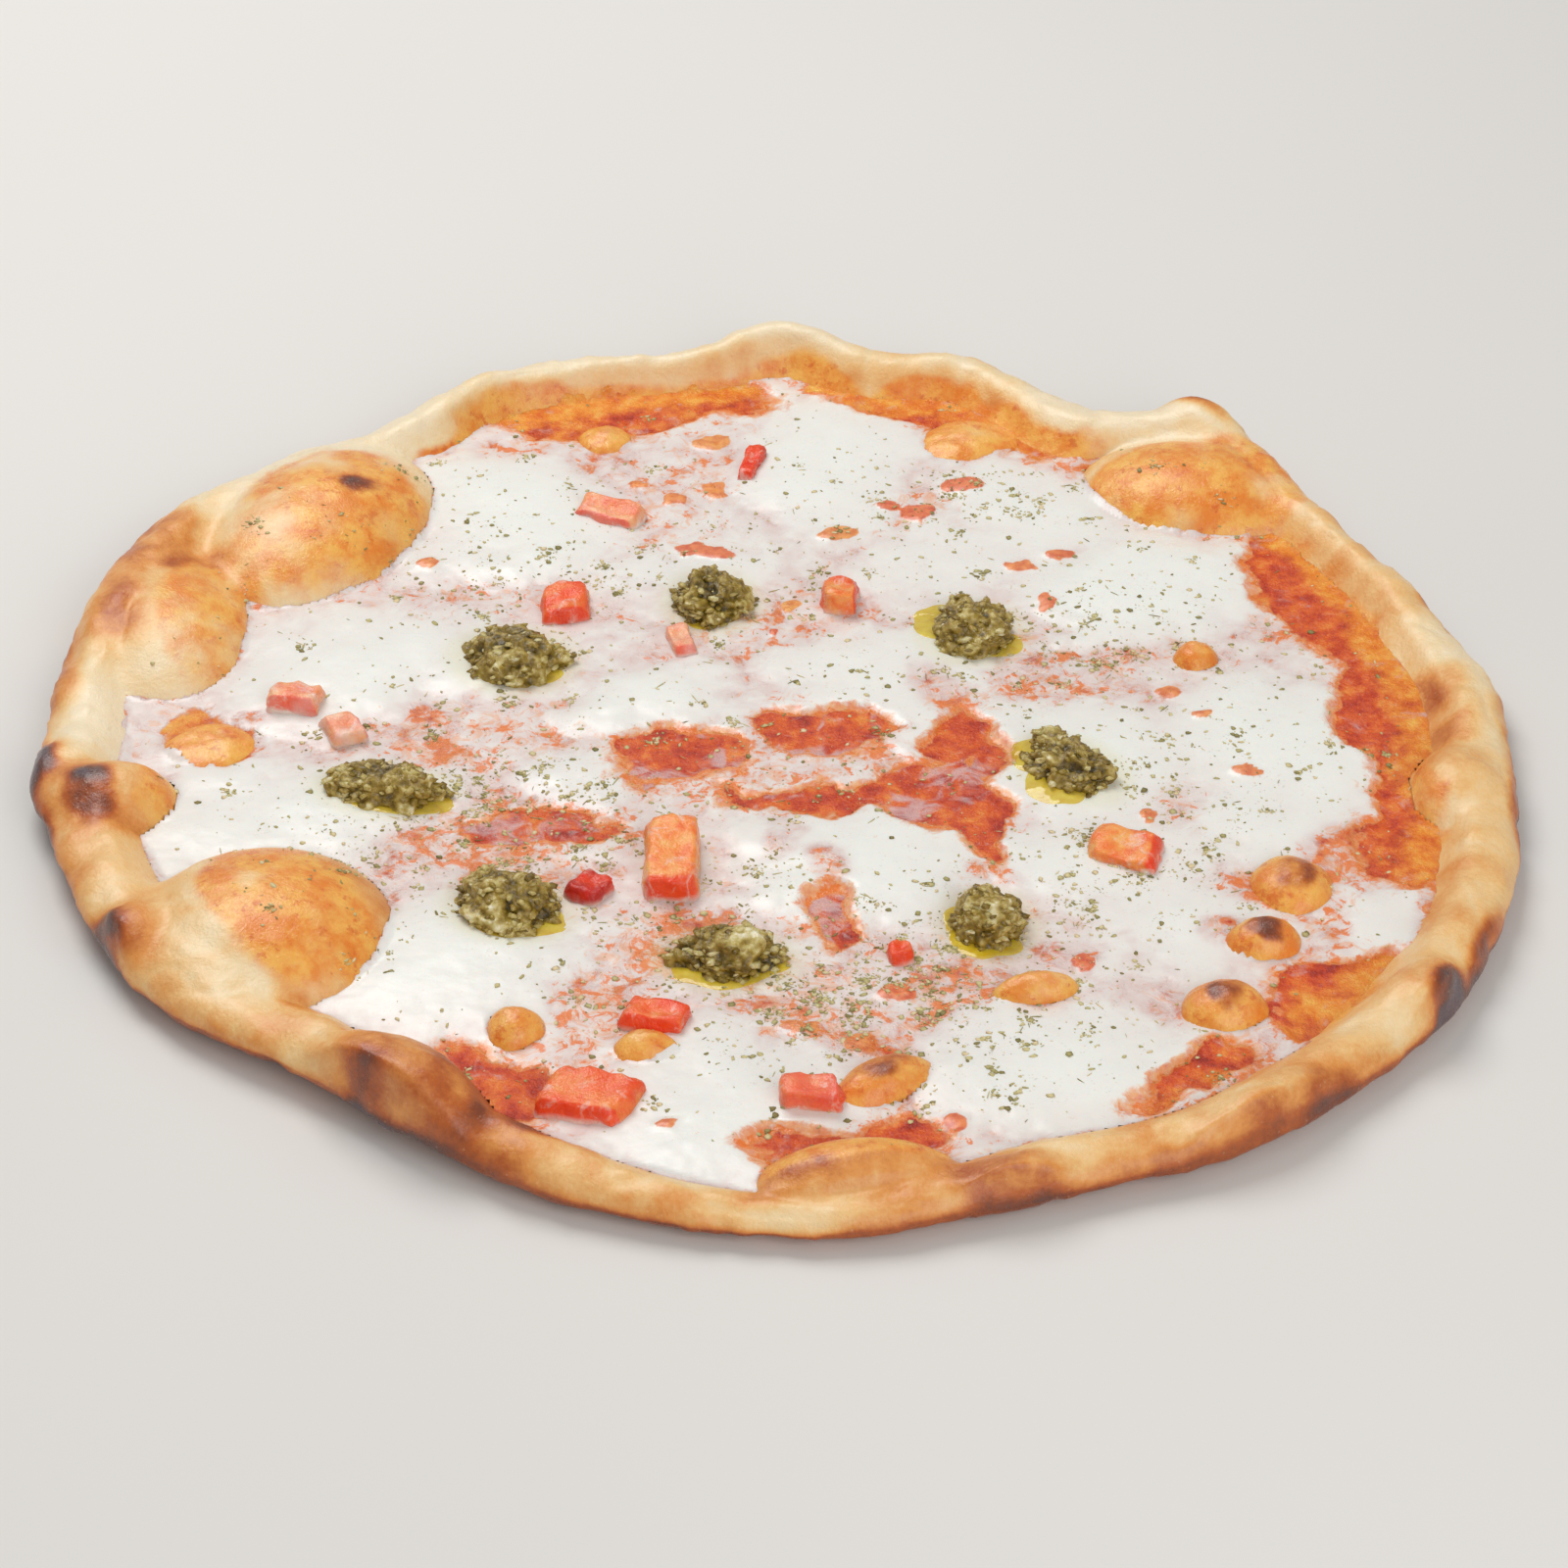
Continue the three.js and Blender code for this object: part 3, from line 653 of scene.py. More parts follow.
def make_crust(finish):
    rows = section_rows()
    bm = bmesh.new()
    chain = [bm.verts.new((0 if k in (0, len(rows) - 1) else 1, 0, k)) for k in range(len(rows))]
    edges = [bm.edges.new(pair) for pair in zip(chain, chain[1:])]
    bmesh.ops.spin(bm, geom=chain + edges, cent=(0, 0, 0), axis=(0, 0, 1), angle=2 * pi,
                   steps=ROUND_STEPS, use_merge=True)
    bmesh.ops.remove_doubles(bm, verts=bm.verts, dist=0.001)
    mesh = to_mesh(bm, "crust_dough")
    spun = points_of(mesh)
    row = np.rint(spun[:, 2]).astype(int)
    turned = np.degrees(np.arctan2(spun[:, 1], spun[:, 0]))
    step = np.rint(turned * ROUND_STEPS / 360).astype(int) % ROUND_STEPS
    bearings = np.arange(ROUND_STEPS) * 360 / ROUND_STEPS
    rim = rim_at(bearings)
    table = np.array([row_at(kind, share, *rim) for kind, share in rows])
    radius = table[row, 0, step]
    height = table[row, 1, step]
    angle = np.radians(bearings[step])
    x, y = radius * np.cos(angle), radius * np.sin(angle)
    lifted = np.array([lift_share(kind, share) for kind, share in rows])
    height += lifted[row] * (puffed(x, y, height) - height)
    points = np.stack([x, y, height], axis=1)
    place(mesh, points)
    bm = bmesh.new()
    bm.from_mesh(mesh)
    bmesh.ops.recalc_face_normals(bm, faces=bm.faces)
    bm.to_mesh(mesh)
    bm.free()
    # Gentle lumps, small gas bubbles and a fine skin, none of them on what rests on the table
    normals = normals_of(mesh)
    loose = ease((points[:, 2] - 0.3) / 3)
    lumps = rough(points, 26, 51, 2) + 0.6 * rough(points, 10, 54, 3)
    creases = crease_depth(points)
    beads = np.maximum(noise(points, 3.1, 57) - 0.35, 0) * 0.7
    beads += np.maximum(noise(points, 1.7, 58) - 0.5, 0) * 0.4
    push = lumps - 3 * creases + beads
    # The cheese and sauce lie on the inner slope, so it is only pushed towards them
    push += ease((inner_share(x, y) - 0.1) / 0.3) * (0.6 * np.maximum(push, 0) - push)
    points += normals * (loose * push)[:, None]
    points[:, 2] = np.maximum(points[:, 2], 0)
    place(mesh, points)
    x, y, z = points.T
    inner = inner_share(x, y)
    facing = normals[:, 2]
    front = ease((-y - 90) / 40)
    back = ease((y - 60) / 60)
    browned = 0.32 + 0.24 * rough(points, 28, 61, 2) + 0.07 * rough(points, 7, 64, 2)
    browned += 0.1 * ease(lumps / 1.4) - 0.5 * creases
    browned += 0.11 * ease((-95 - y) / 40) + 0.1 * ease((-130 - x) / 20)
    # Faces turned sideways and down, most at the front, are browner: partly real browning at the rim's foot,
    # partly painted shade on faces turned from the light.
    browned += (0.34 + 0.16 * front) * ease((0.6 - facing) / 0.9) * ease((10 - z) / 7)
    browned += 0.12 * ease((0.25 - facing) / 0.5)
    browned = np.minimum(browned, 0.72)
    for spot in BROWN_SPOTS:
        shape = patches(x, y, grown([spot], 0, 1), 1) * (1 + 0.4 * rough(points, 5, 67, 2))
        browned += spot[5] * shape * ease((z - 2) / 4)
    # Faces turned up, most at the back, are paler: a painted highlight where they face the light.
    browned -= (0.07 + 0.19 * back) * ease((facing - 0.5) / 0.4) * ease(1.2 - np.abs(inner))
    underside = ease((1.2 - z) / 1.2) * ease(-facing)
    browned = browned * (1 - underside) + underside * (0.42 + 0.25 * rough(points, 22, 71))
    reach = inner - 0.46 + 0.2 * back + 0.25 * rough(points, 12, 74, 2)
    stain = (0.72 + 0.2 * back) * ease(reach / 0.4) * ease((z - 2) / 2)
    on_bubble = patches(x, y, grown(RIM_BUBBLES[:4], 0, 1), 0.3)
    stain = np.where(on_bubble > 0, stain * (1 - on_bubble), stain)
    spilt = patches(x, y, DOUGH_STAINS, 0.5) * (0.85 + 0.3 * rough(points, 9, 77, 2))
    stain = np.maximum(stain, spilt * ease((z - 2) / 3))
    # browned holds real browning together with the painted shade and painted highlight on the rim's faces.
    paint(mesh, "browned", browned)
    paint(mesh, "stain", stain)
    hand_in(mesh, finish, "crust", "crust")


def disc(steps):
    """A flat round sheet of small squares, one unit in radius."""
    bm = bmesh.new()
    bmesh.ops.create_grid(bm, x_segments=steps, y_segments=steps, size=1)
    for vert in bm.verts:
        x, y, _ = vert.co
        vert.co.x = x * (1 - y * y / 2) ** 0.5
        vert.co.y = y * (1 - x * x / 2) ** 0.5
    return bm


def make_blisters(finish):
    mesh, points = copies(disc(26), len(BLISTERS), "crust_blisters")
    browned = np.zeros(points.shape[:2])
    stain = np.zeros(points.shape[:2])
    for n, (bx, by, half_a, half_b, turn, top) in enumerate(BLISTERS):
        u, v = points[n, :, 0].copy(), points[n, :, 1].copy()
        away = np.hypot(u, v)
        swell = 1.07 + 0.08 * noise(flat(u + n * 7, v), 0.8, 81) + 0.04 * noise(flat(u + n * 7, v), 0.35, 82)
        c, s = cos(radians(turn)), sin(radians(turn))
        across_a, across_b = u * half_a * 1.12 * swell, v * half_b * 1.12 * swell
        points[n, :, 0] = bx + across_a * c - across_b * s
        points[n, :, 1] = by + across_a * s + across_b * c
        dome = np.clip(1 - away ** 2, 0, 1) ** 0.6
        bumps = 0.3 * rough(points[n, :, :2].copy(), 2.4, 84)
        points[n, :, 2] = 4.2 + (top - 4.2) * dome + bumps * dome
        brown = BLISTER_BROWNING[n]
        middle = ease((0.9 - away + 0.2 * noise(flat(u + n * 3, v), 0.5, 87)) / 0.6)
        browned[n] = 0.24 + (brown - 0.24) * middle + 0.14 * noise(flat(u * 3 + n, v * 3), 1, 86)
        stain[n] = 0.85 - 0.5 * brown * middle
    place(mesh, points.reshape(-1, 3))
    face_up(mesh)
    paint(mesh, "browned", browned.ravel())
    paint(mesh, "stain", stain.ravel())
    hand_in(mesh, finish, "crust")


# Sauce and cheese

def sheet(steps, height, keep, name):
    """A fine sheet over the whole pizza at a height, kept only where it can be seen."""
    bm = bmesh.new()
    bmesh.ops.create_grid(bm, x_segments=steps, y_segments=steps, size=158)
    mesh = to_mesh(bm, name)
    points = points_of(mesh)
    points[:, 2] = height(points[:, 0], points[:, 1])
    kept = keep(points[:, 0], points[:, 1], points[:, 2])
    place(mesh, points)
    bm = bmesh.new()
    bm.from_mesh(mesh)
    bm.verts.ensure_lookup_table()
    bmesh.ops.delete(bm, geom=[bm.verts[i] for i in np.flatnonzero(~kept)], context="VERTS")
    bm.to_mesh(mesh)
    bm.free()
    face_up(mesh)
    return mesh, points_of(mesh) / MM


def paint_topping(mesh, points):
    """What the finish of the sauce and of the cheese reads, so that one runs into the other."""
    x, y, z = points.T
    share = inner_share(x, y)
    cooked = (0.5 + 0.5 * ease((y + 80) / 60)) * ease((1.75 - share) / 0.9) + 0.25 * rough(flat(x, y), 11, 91)
    cooked += 0.5 * patches(x, y, COOKED_PLACES, 1)
    over_dough = (z - np.maximum(dough_top(x, y), blister_top(x, y))) * 1.3 + 0.4
    milk = 0.32 + np.minimum(cheese_amount(x, y), over_dough) * 0.2
    bare = patches(x, y, BARE_PLACES, 1) * (0.9 + 0.3 * rough(flat(x, y), 4, 95, 2))
    milk += np.clip(bare, 0, 1) * (0.26 - milk)
    paint(mesh, "cooked", cooked)
    paint(mesh, "milk", milk)
    beside = patches(x, y, grown(OPENINGS[:-1], 5, 0.9), 0.5)
    paint(mesh, "pink", np.maximum(patches(x, y, PINK_PLACES, 1.2), beside))
    paint(mesh, "fringe", patches(*ragged(x, y), grown(OPENINGS[:-1], 1.5, 1), 0.5))
    paint(mesh, "scrap", scrap_share(x, y))
    hues = [(sx, sy, half_a + 2, half_b + 2, turn, red) for sx, sy, half_a, half_b, turn, red in SCRAPS]
    paint(mesh, "scrap_red", patches(x, y, hues, 0.3))
    paint(mesh, "milky", patches(x, y, MILKY_PLACES, 1))
    paint(mesh, "oily", patches(x, y, grown(PESTO, 3, 1), 0.35))
    paint(mesh, "dust", herb_share(x, y) / 3)


def make_sauce(finish):
    def seen(x, y, z):
        return (z > dough_top(x, y) - 0.8) & (z > cheese_height(x, y) - 0.8) & (inner_share(x, y) > 0.1)

    mesh, points = sheet(SAUCE_STEPS, sauce_height, seen, "sauce_layer")
    paint_topping(mesh, points)
    hand_in(mesh, finish, "sauce", "sauce")


def make_cheese(finish):
    def seen(x, y, z):
        under = np.maximum(sauce_height(x, y), dough_top(x, y))
        return (z > np.maximum(under, blister_top(x, y)) - 0.7) & (inner_share(x, y) > 0)

    mesh, points = sheet(CHEESE_STEPS, cheese_height, seen, "cheese_layer")
    paint_topping(mesh, points)
    hand_in(mesh, finish, "cheese", "cheese")


# Toppings

def make_pesto(number, heap, finish):
    """A lumpy spoonful, with chopped leaf and nut standing out of it."""
    hx, hy, half_a, half_b, turn, top = heap
    bm = bmesh.new()
    bmesh.ops.create_icosphere(bm, subdivisions=6, radius=1)
    body = to_mesh(bm, "pesto_body")
    unit = points_of(body)
    bpy.data.meshes.remove(body)
    bits = 130
    bm = bmesh.new()
    bmesh.ops.create_icosphere(bm, subdivisions=6, radius=1)
    chopped = bmesh.new()
    bmesh.ops.create_icosphere(chopped, subdivisions=1, radius=1)
    single = to_mesh(chopped, "pesto_bit")
    for _ in range(bits):
        bm.from_mesh(single)
    corners = len(single.vertices)
    bpy.data.meshes.remove(single)
    mesh = to_mesh(bm, f"pesto_heap_{number}")
    seeds = np.random.default_rng(100 + number)
    c, s = cos(radians(turn)), sin(radians(turn))

    def lumpiness(directions):
        shift = directions + number * 5
        return 0.22 * rough(shift, 0.62, 200 + number, 2) + 0.12 * rough(shift, 0.28, 230, 2)

    def laid(directions):
        """Where directions from the middle of the heap meet its lumpy outside."""
        lumps = 1 + lumpiness(directions)
        a = directions[:, 0] * half_a * lumps * 0.9
        b = directions[:, 1] * half_b * lumps * 0.9
        up = np.maximum(directions[:, 2], -0.35) * (top + 1) * lumps
        return np.stack([hx + a * c - b * s, hy + a * s + b * c, up], axis=1)

    floor = topping_height(np.array([float(hx)]), np.array([float(hy)]))[0] - 1.0
    heap_points = laid(unit)
    heap_points[:, 2] += floor + 0.35 * rough(heap_points, 1.5, 260, 2)
    directions = seeds.normal(size=(bits, 3))
    directions[:, 2] = np.abs(directions[:, 2]) * 0.8 + 0.05
    directions /= np.linalg.norm(directions, axis=1)[:, None]
    middles = laid(directions)
    middles[:, 2] += floor - 0.15
    shape = points_of(mesh)[len(unit):].reshape(bits, corners, 3)
    sizes = seeds.uniform(0.5, 1.4, (bits, 1, 1)) * np.array([1.3, 0.8, 0.45])
    turns = seeds.uniform(0, 2 * pi, bits)
    shape = shape * sizes * (1 + 0.3 * seeds.normal(size=(bits, corners, 1)).clip(-1, 1))
    turned = np.stack([
        shape[:, :, 0] * np.cos(turns)[:, None] - shape[:, :, 1] * np.sin(turns)[:, None],
        shape[:, :, 0] * np.sin(turns)[:, None] + shape[:, :, 1] * np.cos(turns)[:, None],
        shape[:, :, 2],
    ], axis=2)
    points = np.concatenate([heap_points, (turned + middles[:, None, :]).reshape(-1, 3)])
    place(mesh, points)
    # The heap's tone is random, with a painted highlight on the lumps that stand out and painted shade in the
    # hollows between them; the chopped bits' tone is random.
    body_tone_and_painted_light = 0.36 + 0.25 * rough(heap_points, 1.3, 270, 2) + 1.4 * lumpiness(unit)
    paint(mesh, "tone", np.concatenate([body_tone_and_painted_light, np.repeat(seeds.uniform(0.2, 0.8, bits), corners)]))
    hand_in(mesh, finish, "pesto", f"pesto_{number}")


def make_tomato(number, dice, finish):
    """A cut piece of tomato with one side of skin, softened by the heat."""
    tx, ty, length, width, height, turn, lean = dice
    bm = bmesh.new()
    bmesh.ops.create_cube(bm, size=1)
    bmesh.ops.bevel(bm, geom=bm.edges[:], offset=0.1, segments=4, profile=0.5, affect="EDGES", material=-1)
    bmesh.ops.subdivide_edges(bm, edges=bm.edges[:], cuts=5, use_grid_fill=True)
    mesh = to_mesh(bm, f"tomato_dice_{number}")
    unit = points_of(mesh)
    skin = ease((-unit[:, 1] - 0.34) / 0.14) if number % 3 else ease((unit[:, 0] - 0.34) / 0.14)
    unit *= 1 - 0.3 * (np.linalg.norm(unit, axis=1)[:, None]) ** 4
    x, y, z = unit.T
    skew = 0.12 * sin((number - 1) * 2.1)
    taper = 1.04 - 0.2 * (z + 0.5)
    points = np.stack([(x * taper + skew * y) * length, (y * taper + skew * z) * width, z * height], axis=1)
    points += (0.8 * rough(points + number * 40, 4, 301, 3))[:, None] * (unit / 0.5) ** 3
    points[:, 2] -= 0.7 * ease(z + 0.5) * ease(1 - np.hypot(x - 0.1, y) / 0.4)
    tilt = Matrix.Rotation(radians(turn), 3, "Z") @ Matrix.Rotation(radians(lean), 3, "X")
    points = points @ np.array(tilt).T
    rest = topping_height(np.array([float(tx)]), np.array([float(ty)]))[0]
    points += (tx, ty, rest + height / 2 - 0.36 * height)
    points += (0.12 * rough(points, 1.4, 305, 2))[:, None]
    place(mesh, points)
    redness = TOMATO_REDNESS[number - 1] + 0.2 * rough(points, 5, 311, 2)
    paint(mesh, "skin", np.maximum(0.7 * skin, redness))
    film = ease((rest + 0.9 + 0.9 * rough(points, 4, 315, 2) - points[:, 2]) / 1.2)
    paint(mesh, "milk", film + MILKY_TOMATO.get(number, 0) * (1 + 0.8 * rough(points, 3.5, 318, 2)))
    hand_in(mesh, finish, "tomato", f"tomato_{number}")


def make_oil(finish):
    mesh, points = copies(disc(30), len(OIL_POOLS), "oil_pools")
    for n, (number, right, back, half_a, half_b) in enumerate(OIL_POOLS):
        ox, oy = PESTO[number - 1][0] + right, PESTO[number - 1][1] + back
        u, v = points[n, :, 0].copy(), points[n, :, 1].copy()
        away = np.hypot(u, v)
        uneven = 1 + 0.22 * rough(flat(u / (away + 0.3) + n * 9, v / (away + 0.3)), 0.8, 401, 2)
        points[n, :, 0] = ox + u * half_a * uneven * 0.92
        points[n, :, 1] = oy + v * half_b * uneven * 0.92
        under = topping_height(points[n, :, 0].copy(), points[n, :, 1].copy())
        points[n, :, 2] = under + 0.55 * np.clip(1 - away ** 2, 0, 1) ** 0.5 - 0.12
    place(mesh, points.reshape(-1, 3))
    face_up(mesh)
    hand_in(mesh, finish, "pesto")


def herb_share(x, y):
    """How thickly the dried herb lies, on no particular scale."""
    share = np.zeros(len(x))
    for patch in HERB_PLACES:
        share += patch[5] * np.exp(-1.4 * from_middle(x, y, patch) ** 2)
    share *= ease((inner_share(x, y) - 0.6) / 0.5)
    return share * (0.35 + 1.3 * ease(0.5 + rough(flat(x, y), 6, 501, 2)))


def make_herbs(finish):
    """Dried herb, thicker in the places where a pinch fell."""
    seeds = np.random.default_rng(7)
    found = np.empty((0, 2))
    while len(found) < HERB_COUNT:
        tries = seeds.uniform(-152, 152, (20000, 2))
        found = np.concatenate([found, tries[seeds.uniform(0, 4.5, len(tries)) < herb_share(*tries.T)]])
    # Some flakes stick together in clumps
    found = found[:HERB_COUNT]
    clumped = np.arange(HERB_COUNT) % 5 > 2
    middles = found[seeds.integers(0, HERB_COUNT // 30, HERB_COUNT) * 5]
    found[clumped] = (middles + seeds.normal(size=(HERB_COUNT, 2)) * 1.3)[clumped]
    x, y = found.T
    bm = bmesh.new()
    bmesh.ops.create_icosphere(bm, subdivisions=1, radius=1)
    mesh, shapes = copies(bm, HERB_COUNT, "herb_flakes")
    corners = shapes.shape[1]
    large = seeds.uniform(0, 1, HERB_COUNT) ** 2.2
    size = (0.2 + 0.72 * large)[:, None]
    stretch = seeds.uniform(0.35, 1, HERB_COUNT)[:, None]
    stretch = np.where(seeds.uniform(0, 1, HERB_COUNT)[:, None] < 0.12, 0.14, stretch)
    uneven = 1 + 0.35 * seeds.normal(size=(HERB_COUNT, corners)).clip(-1.2, 1.2)
    turn = seeds.uniform(0, 2 * pi, HERB_COUNT)[:, None]
    a = shapes[:, :, 0] * size * uneven * np.where(stretch < 0.2, 1.7, 1)
    b = shapes[:, :, 1] * size * uneven * stretch
    up = shapes[:, :, 2] * 0.16 + 0.1 * a * seeds.normal(size=(HERB_COUNT, 1))
    shapes[:, :, 0] = x[:, None] + a * np.cos(turn) - b * np.sin(turn)
    shapes[:, :, 1] = y[:, None] + a * np.sin(turn) + b * np.cos(turn)
    shapes[:, :, 2] = topping_height(x, y)[:, None] + 0.06 + up
    place(mesh, shapes.reshape(-1, 3))
    paint(mesh, "tone", np.repeat(seeds.uniform(0, 1, HERB_COUNT), corners))
    hand_in(mesh, finish, "cheese")


# Finishes

def tint(red, green, blue):
    """A colour as seen, from 0 to 255, as the amounts of light that a shader takes."""
    parts = [value / 255 for value in (red, green, blue)]
    return (*[part / 12.92 if part < 0.04045 else ((part + 0.055) / 1.055) ** 2.4 for part in parts], 1)


class Flow:
    """A number or colour on its way from one shader node to the next."""

    def __init__(self, finish, socket):
        self.finish = finish
        self.socket = socket

    def maths(self, operation, first, second):
        return self.finish.node("ShaderNodeMath", {"operation": operation}, {0: first, 1: second})

    def __add__(self, other):
        return self.maths("ADD", self, other)

    def __radd__(self, other):
        return self.maths("ADD", other, self)

    def __sub__(self, other):
        return self.maths("SUBTRACT", self, other)

    def __rsub__(self, other):
        return self.maths("SUBTRACT", other, self)

    def __mul__(self, other):
        return self.maths("MULTIPLY", self, other)

    def __rmul__(self, other):
        return self.maths("MULTIPLY", other, self)


class Finish:
    """A material for one kind of surface."""

    def __init__(self, name, **constants):
        self.material = bpy.data.materials.new(name)
        self.material.use_nodes = True
        self.tree = self.material.node_tree
        self.shader = self.tree.nodes["Principled BSDF"]
        for socket, value in constants.items():
            self.shader.inputs[socket.replace("_", " ")].default_value = value
        self.where = self.node("ShaderNodeTexCoord", {}, {}, "Object")

    def node(self, kind, settings, sockets, output=0):
        made = self.tree.nodes.new(kind)
        stops = settings.pop("stops", None)
        for key, value in settings.items():
            setattr(made, key, value)
        if stops:
            made.color_ramp.elements.remove(made.color_ramp.elements[1])
            made.color_ramp.elements[0].position = 0
            made.color_ramp.elements[0].color = stops[0][1]
            for at, colour in stops:
                made.color_ramp.elements.new(at).color = colour
        for key, value in sockets.items():
            self.plug(made.inputs[key], value)
        return Flow(self, made.outputs[output])

    def plug(self, socket, value):
        if isinstance(value, Flow):
            self.tree.links.new(value.socket, socket)
        else:
            socket.default_value = value

    def painted(self, name):
        return self.node("ShaderNodeAttribute", {"attribute_name": name}, {}, "Fac")

    def grain(self, size, detail=3, roughness=0.55, distortion=0):
        """Noise from 0 to 1 that changes over about a size in millimetres."""
        sockets = {"Vector": self.where, "Scale": 1 / (size * MM), "Detail": detail,
                   "Roughness": roughness, "Distortion": distortion}
        return self.node("ShaderNodeTexNoise", {}, sockets, 0)

    def cells(self, size):
        """How far each place is from the nearest of some scattered points that lie about a size apart."""
        return self.node("ShaderNodeTexVoronoi", {}, {"Vector": self.where, "Scale": 1 / (size * MM)})

    def between(self, value, low, high):
        """0 below low, 1 above high and smooth between them."""
        settings = {"interpolation_type": "SMOOTHSTEP"}
        return self.node("ShaderNodeMapRange", settings, {"Value": value, "From Min": low, "From Max": high})

    def ramp(self, value, *stops):
        colours = [(at, tint(*rgb)) for at, rgb in stops]
        return self.node("ShaderNodeValToRGB", {"stops": colours}, {"Fac": value})

    def mix(self, share, first, second, blend="MIX"):
        settings = {"data_type": "RGBA", "blend_type": blend}
        colours = [tint(*value) if isinstance(value, tuple) else value for value in (first, second)]
        return self.node("ShaderNodeMix", settings, {0: share, 6: colours[0], 7: colours[1]}, 2)

    def bump(self, height, depth):
        return self.node("ShaderNodeBump", {}, {"Height": height, "Distance": depth * MM})

    def wear(self, **sockets):
        for socket, value in sockets.items():
            self.plug(self.shader.inputs[socket.replace("_", " ")], value)
        return self.material


def dough_finish():
    f = Finish("baked_dough", Subsurface_Weight=0.12, Subsurface_Scale=0.004)
    f.shader.inputs["Coat Weight"].default_value = 0.25
    f.shader.inputs["Coat Roughness"].default_value = 0.3
    f.shader.inputs["Subsurface Radius"].default_value = (1, 0.5, 0.25)
    # browned carries real browning and, on the rim, painted shade on faces turned from the light and a
    # painted highlight on faces turned up.
    browned = f.painted("browned") + (f.grain(7, 5, 0.62) - 0.5) * 0.26 + (f.grain(1.2, 3) - 0.5) * 0.14
    base = f.ramp(
        browned,
        (0.0, (250, 230, 194)),
        (0.16, (248, 218, 168)),
        (0.32, (244, 196, 128)),
        (0.48, (230, 152, 72)),
        (0.64, (188, 94, 28)),
        (0.78, (138, 64, 24)),
        # The last two stops are char: its own dark colour with a painted bluish-lilac sheen mixed in.
        (0.9, (104, 62, 48)),
        (1.0, (92, 70, 76)),
    )
    freckles = f.between(f.cells(2.4), 0.0, 0.16)
    base = f.mix((1 - freckles) * 0.2, base, (252, 230, 190))
    stain = f.painted("stain")
    mottled = f.between(f.grain(7, 5, 0.66), 0.34, 0.66)
    sauced = f.mix(mottled, (252, 188, 88), (238, 136, 42))
    red_flecks = f.between(f.grain(4, 6, 0.72), 0.55, 0.64)
    sauced = f.mix(red_flecks * 0.6, sauced, (214, 84, 20))
    share = f.between(stain + (f.grain(6, 4) - 0.5) * 0.6, 0.25, 0.85)
    keep = 1 - f.between(browned, 0.5, 0.75)
    base = f.mix(share * keep, base, sauced)
    rise = f.grain(0.7, 4, 0.6) * 0.5 + f.grain(2.6, 3) * 0.8
    roughness = 0.4 - f.between(browned, 0.5, 0.9) * 0.14 - share * 0.14 + (f.grain(3, 2) - 0.5) * 0.2
    return f.wear(Base_Color=base, Roughness=roughness, Normal=f.bump(rise, 0.42))


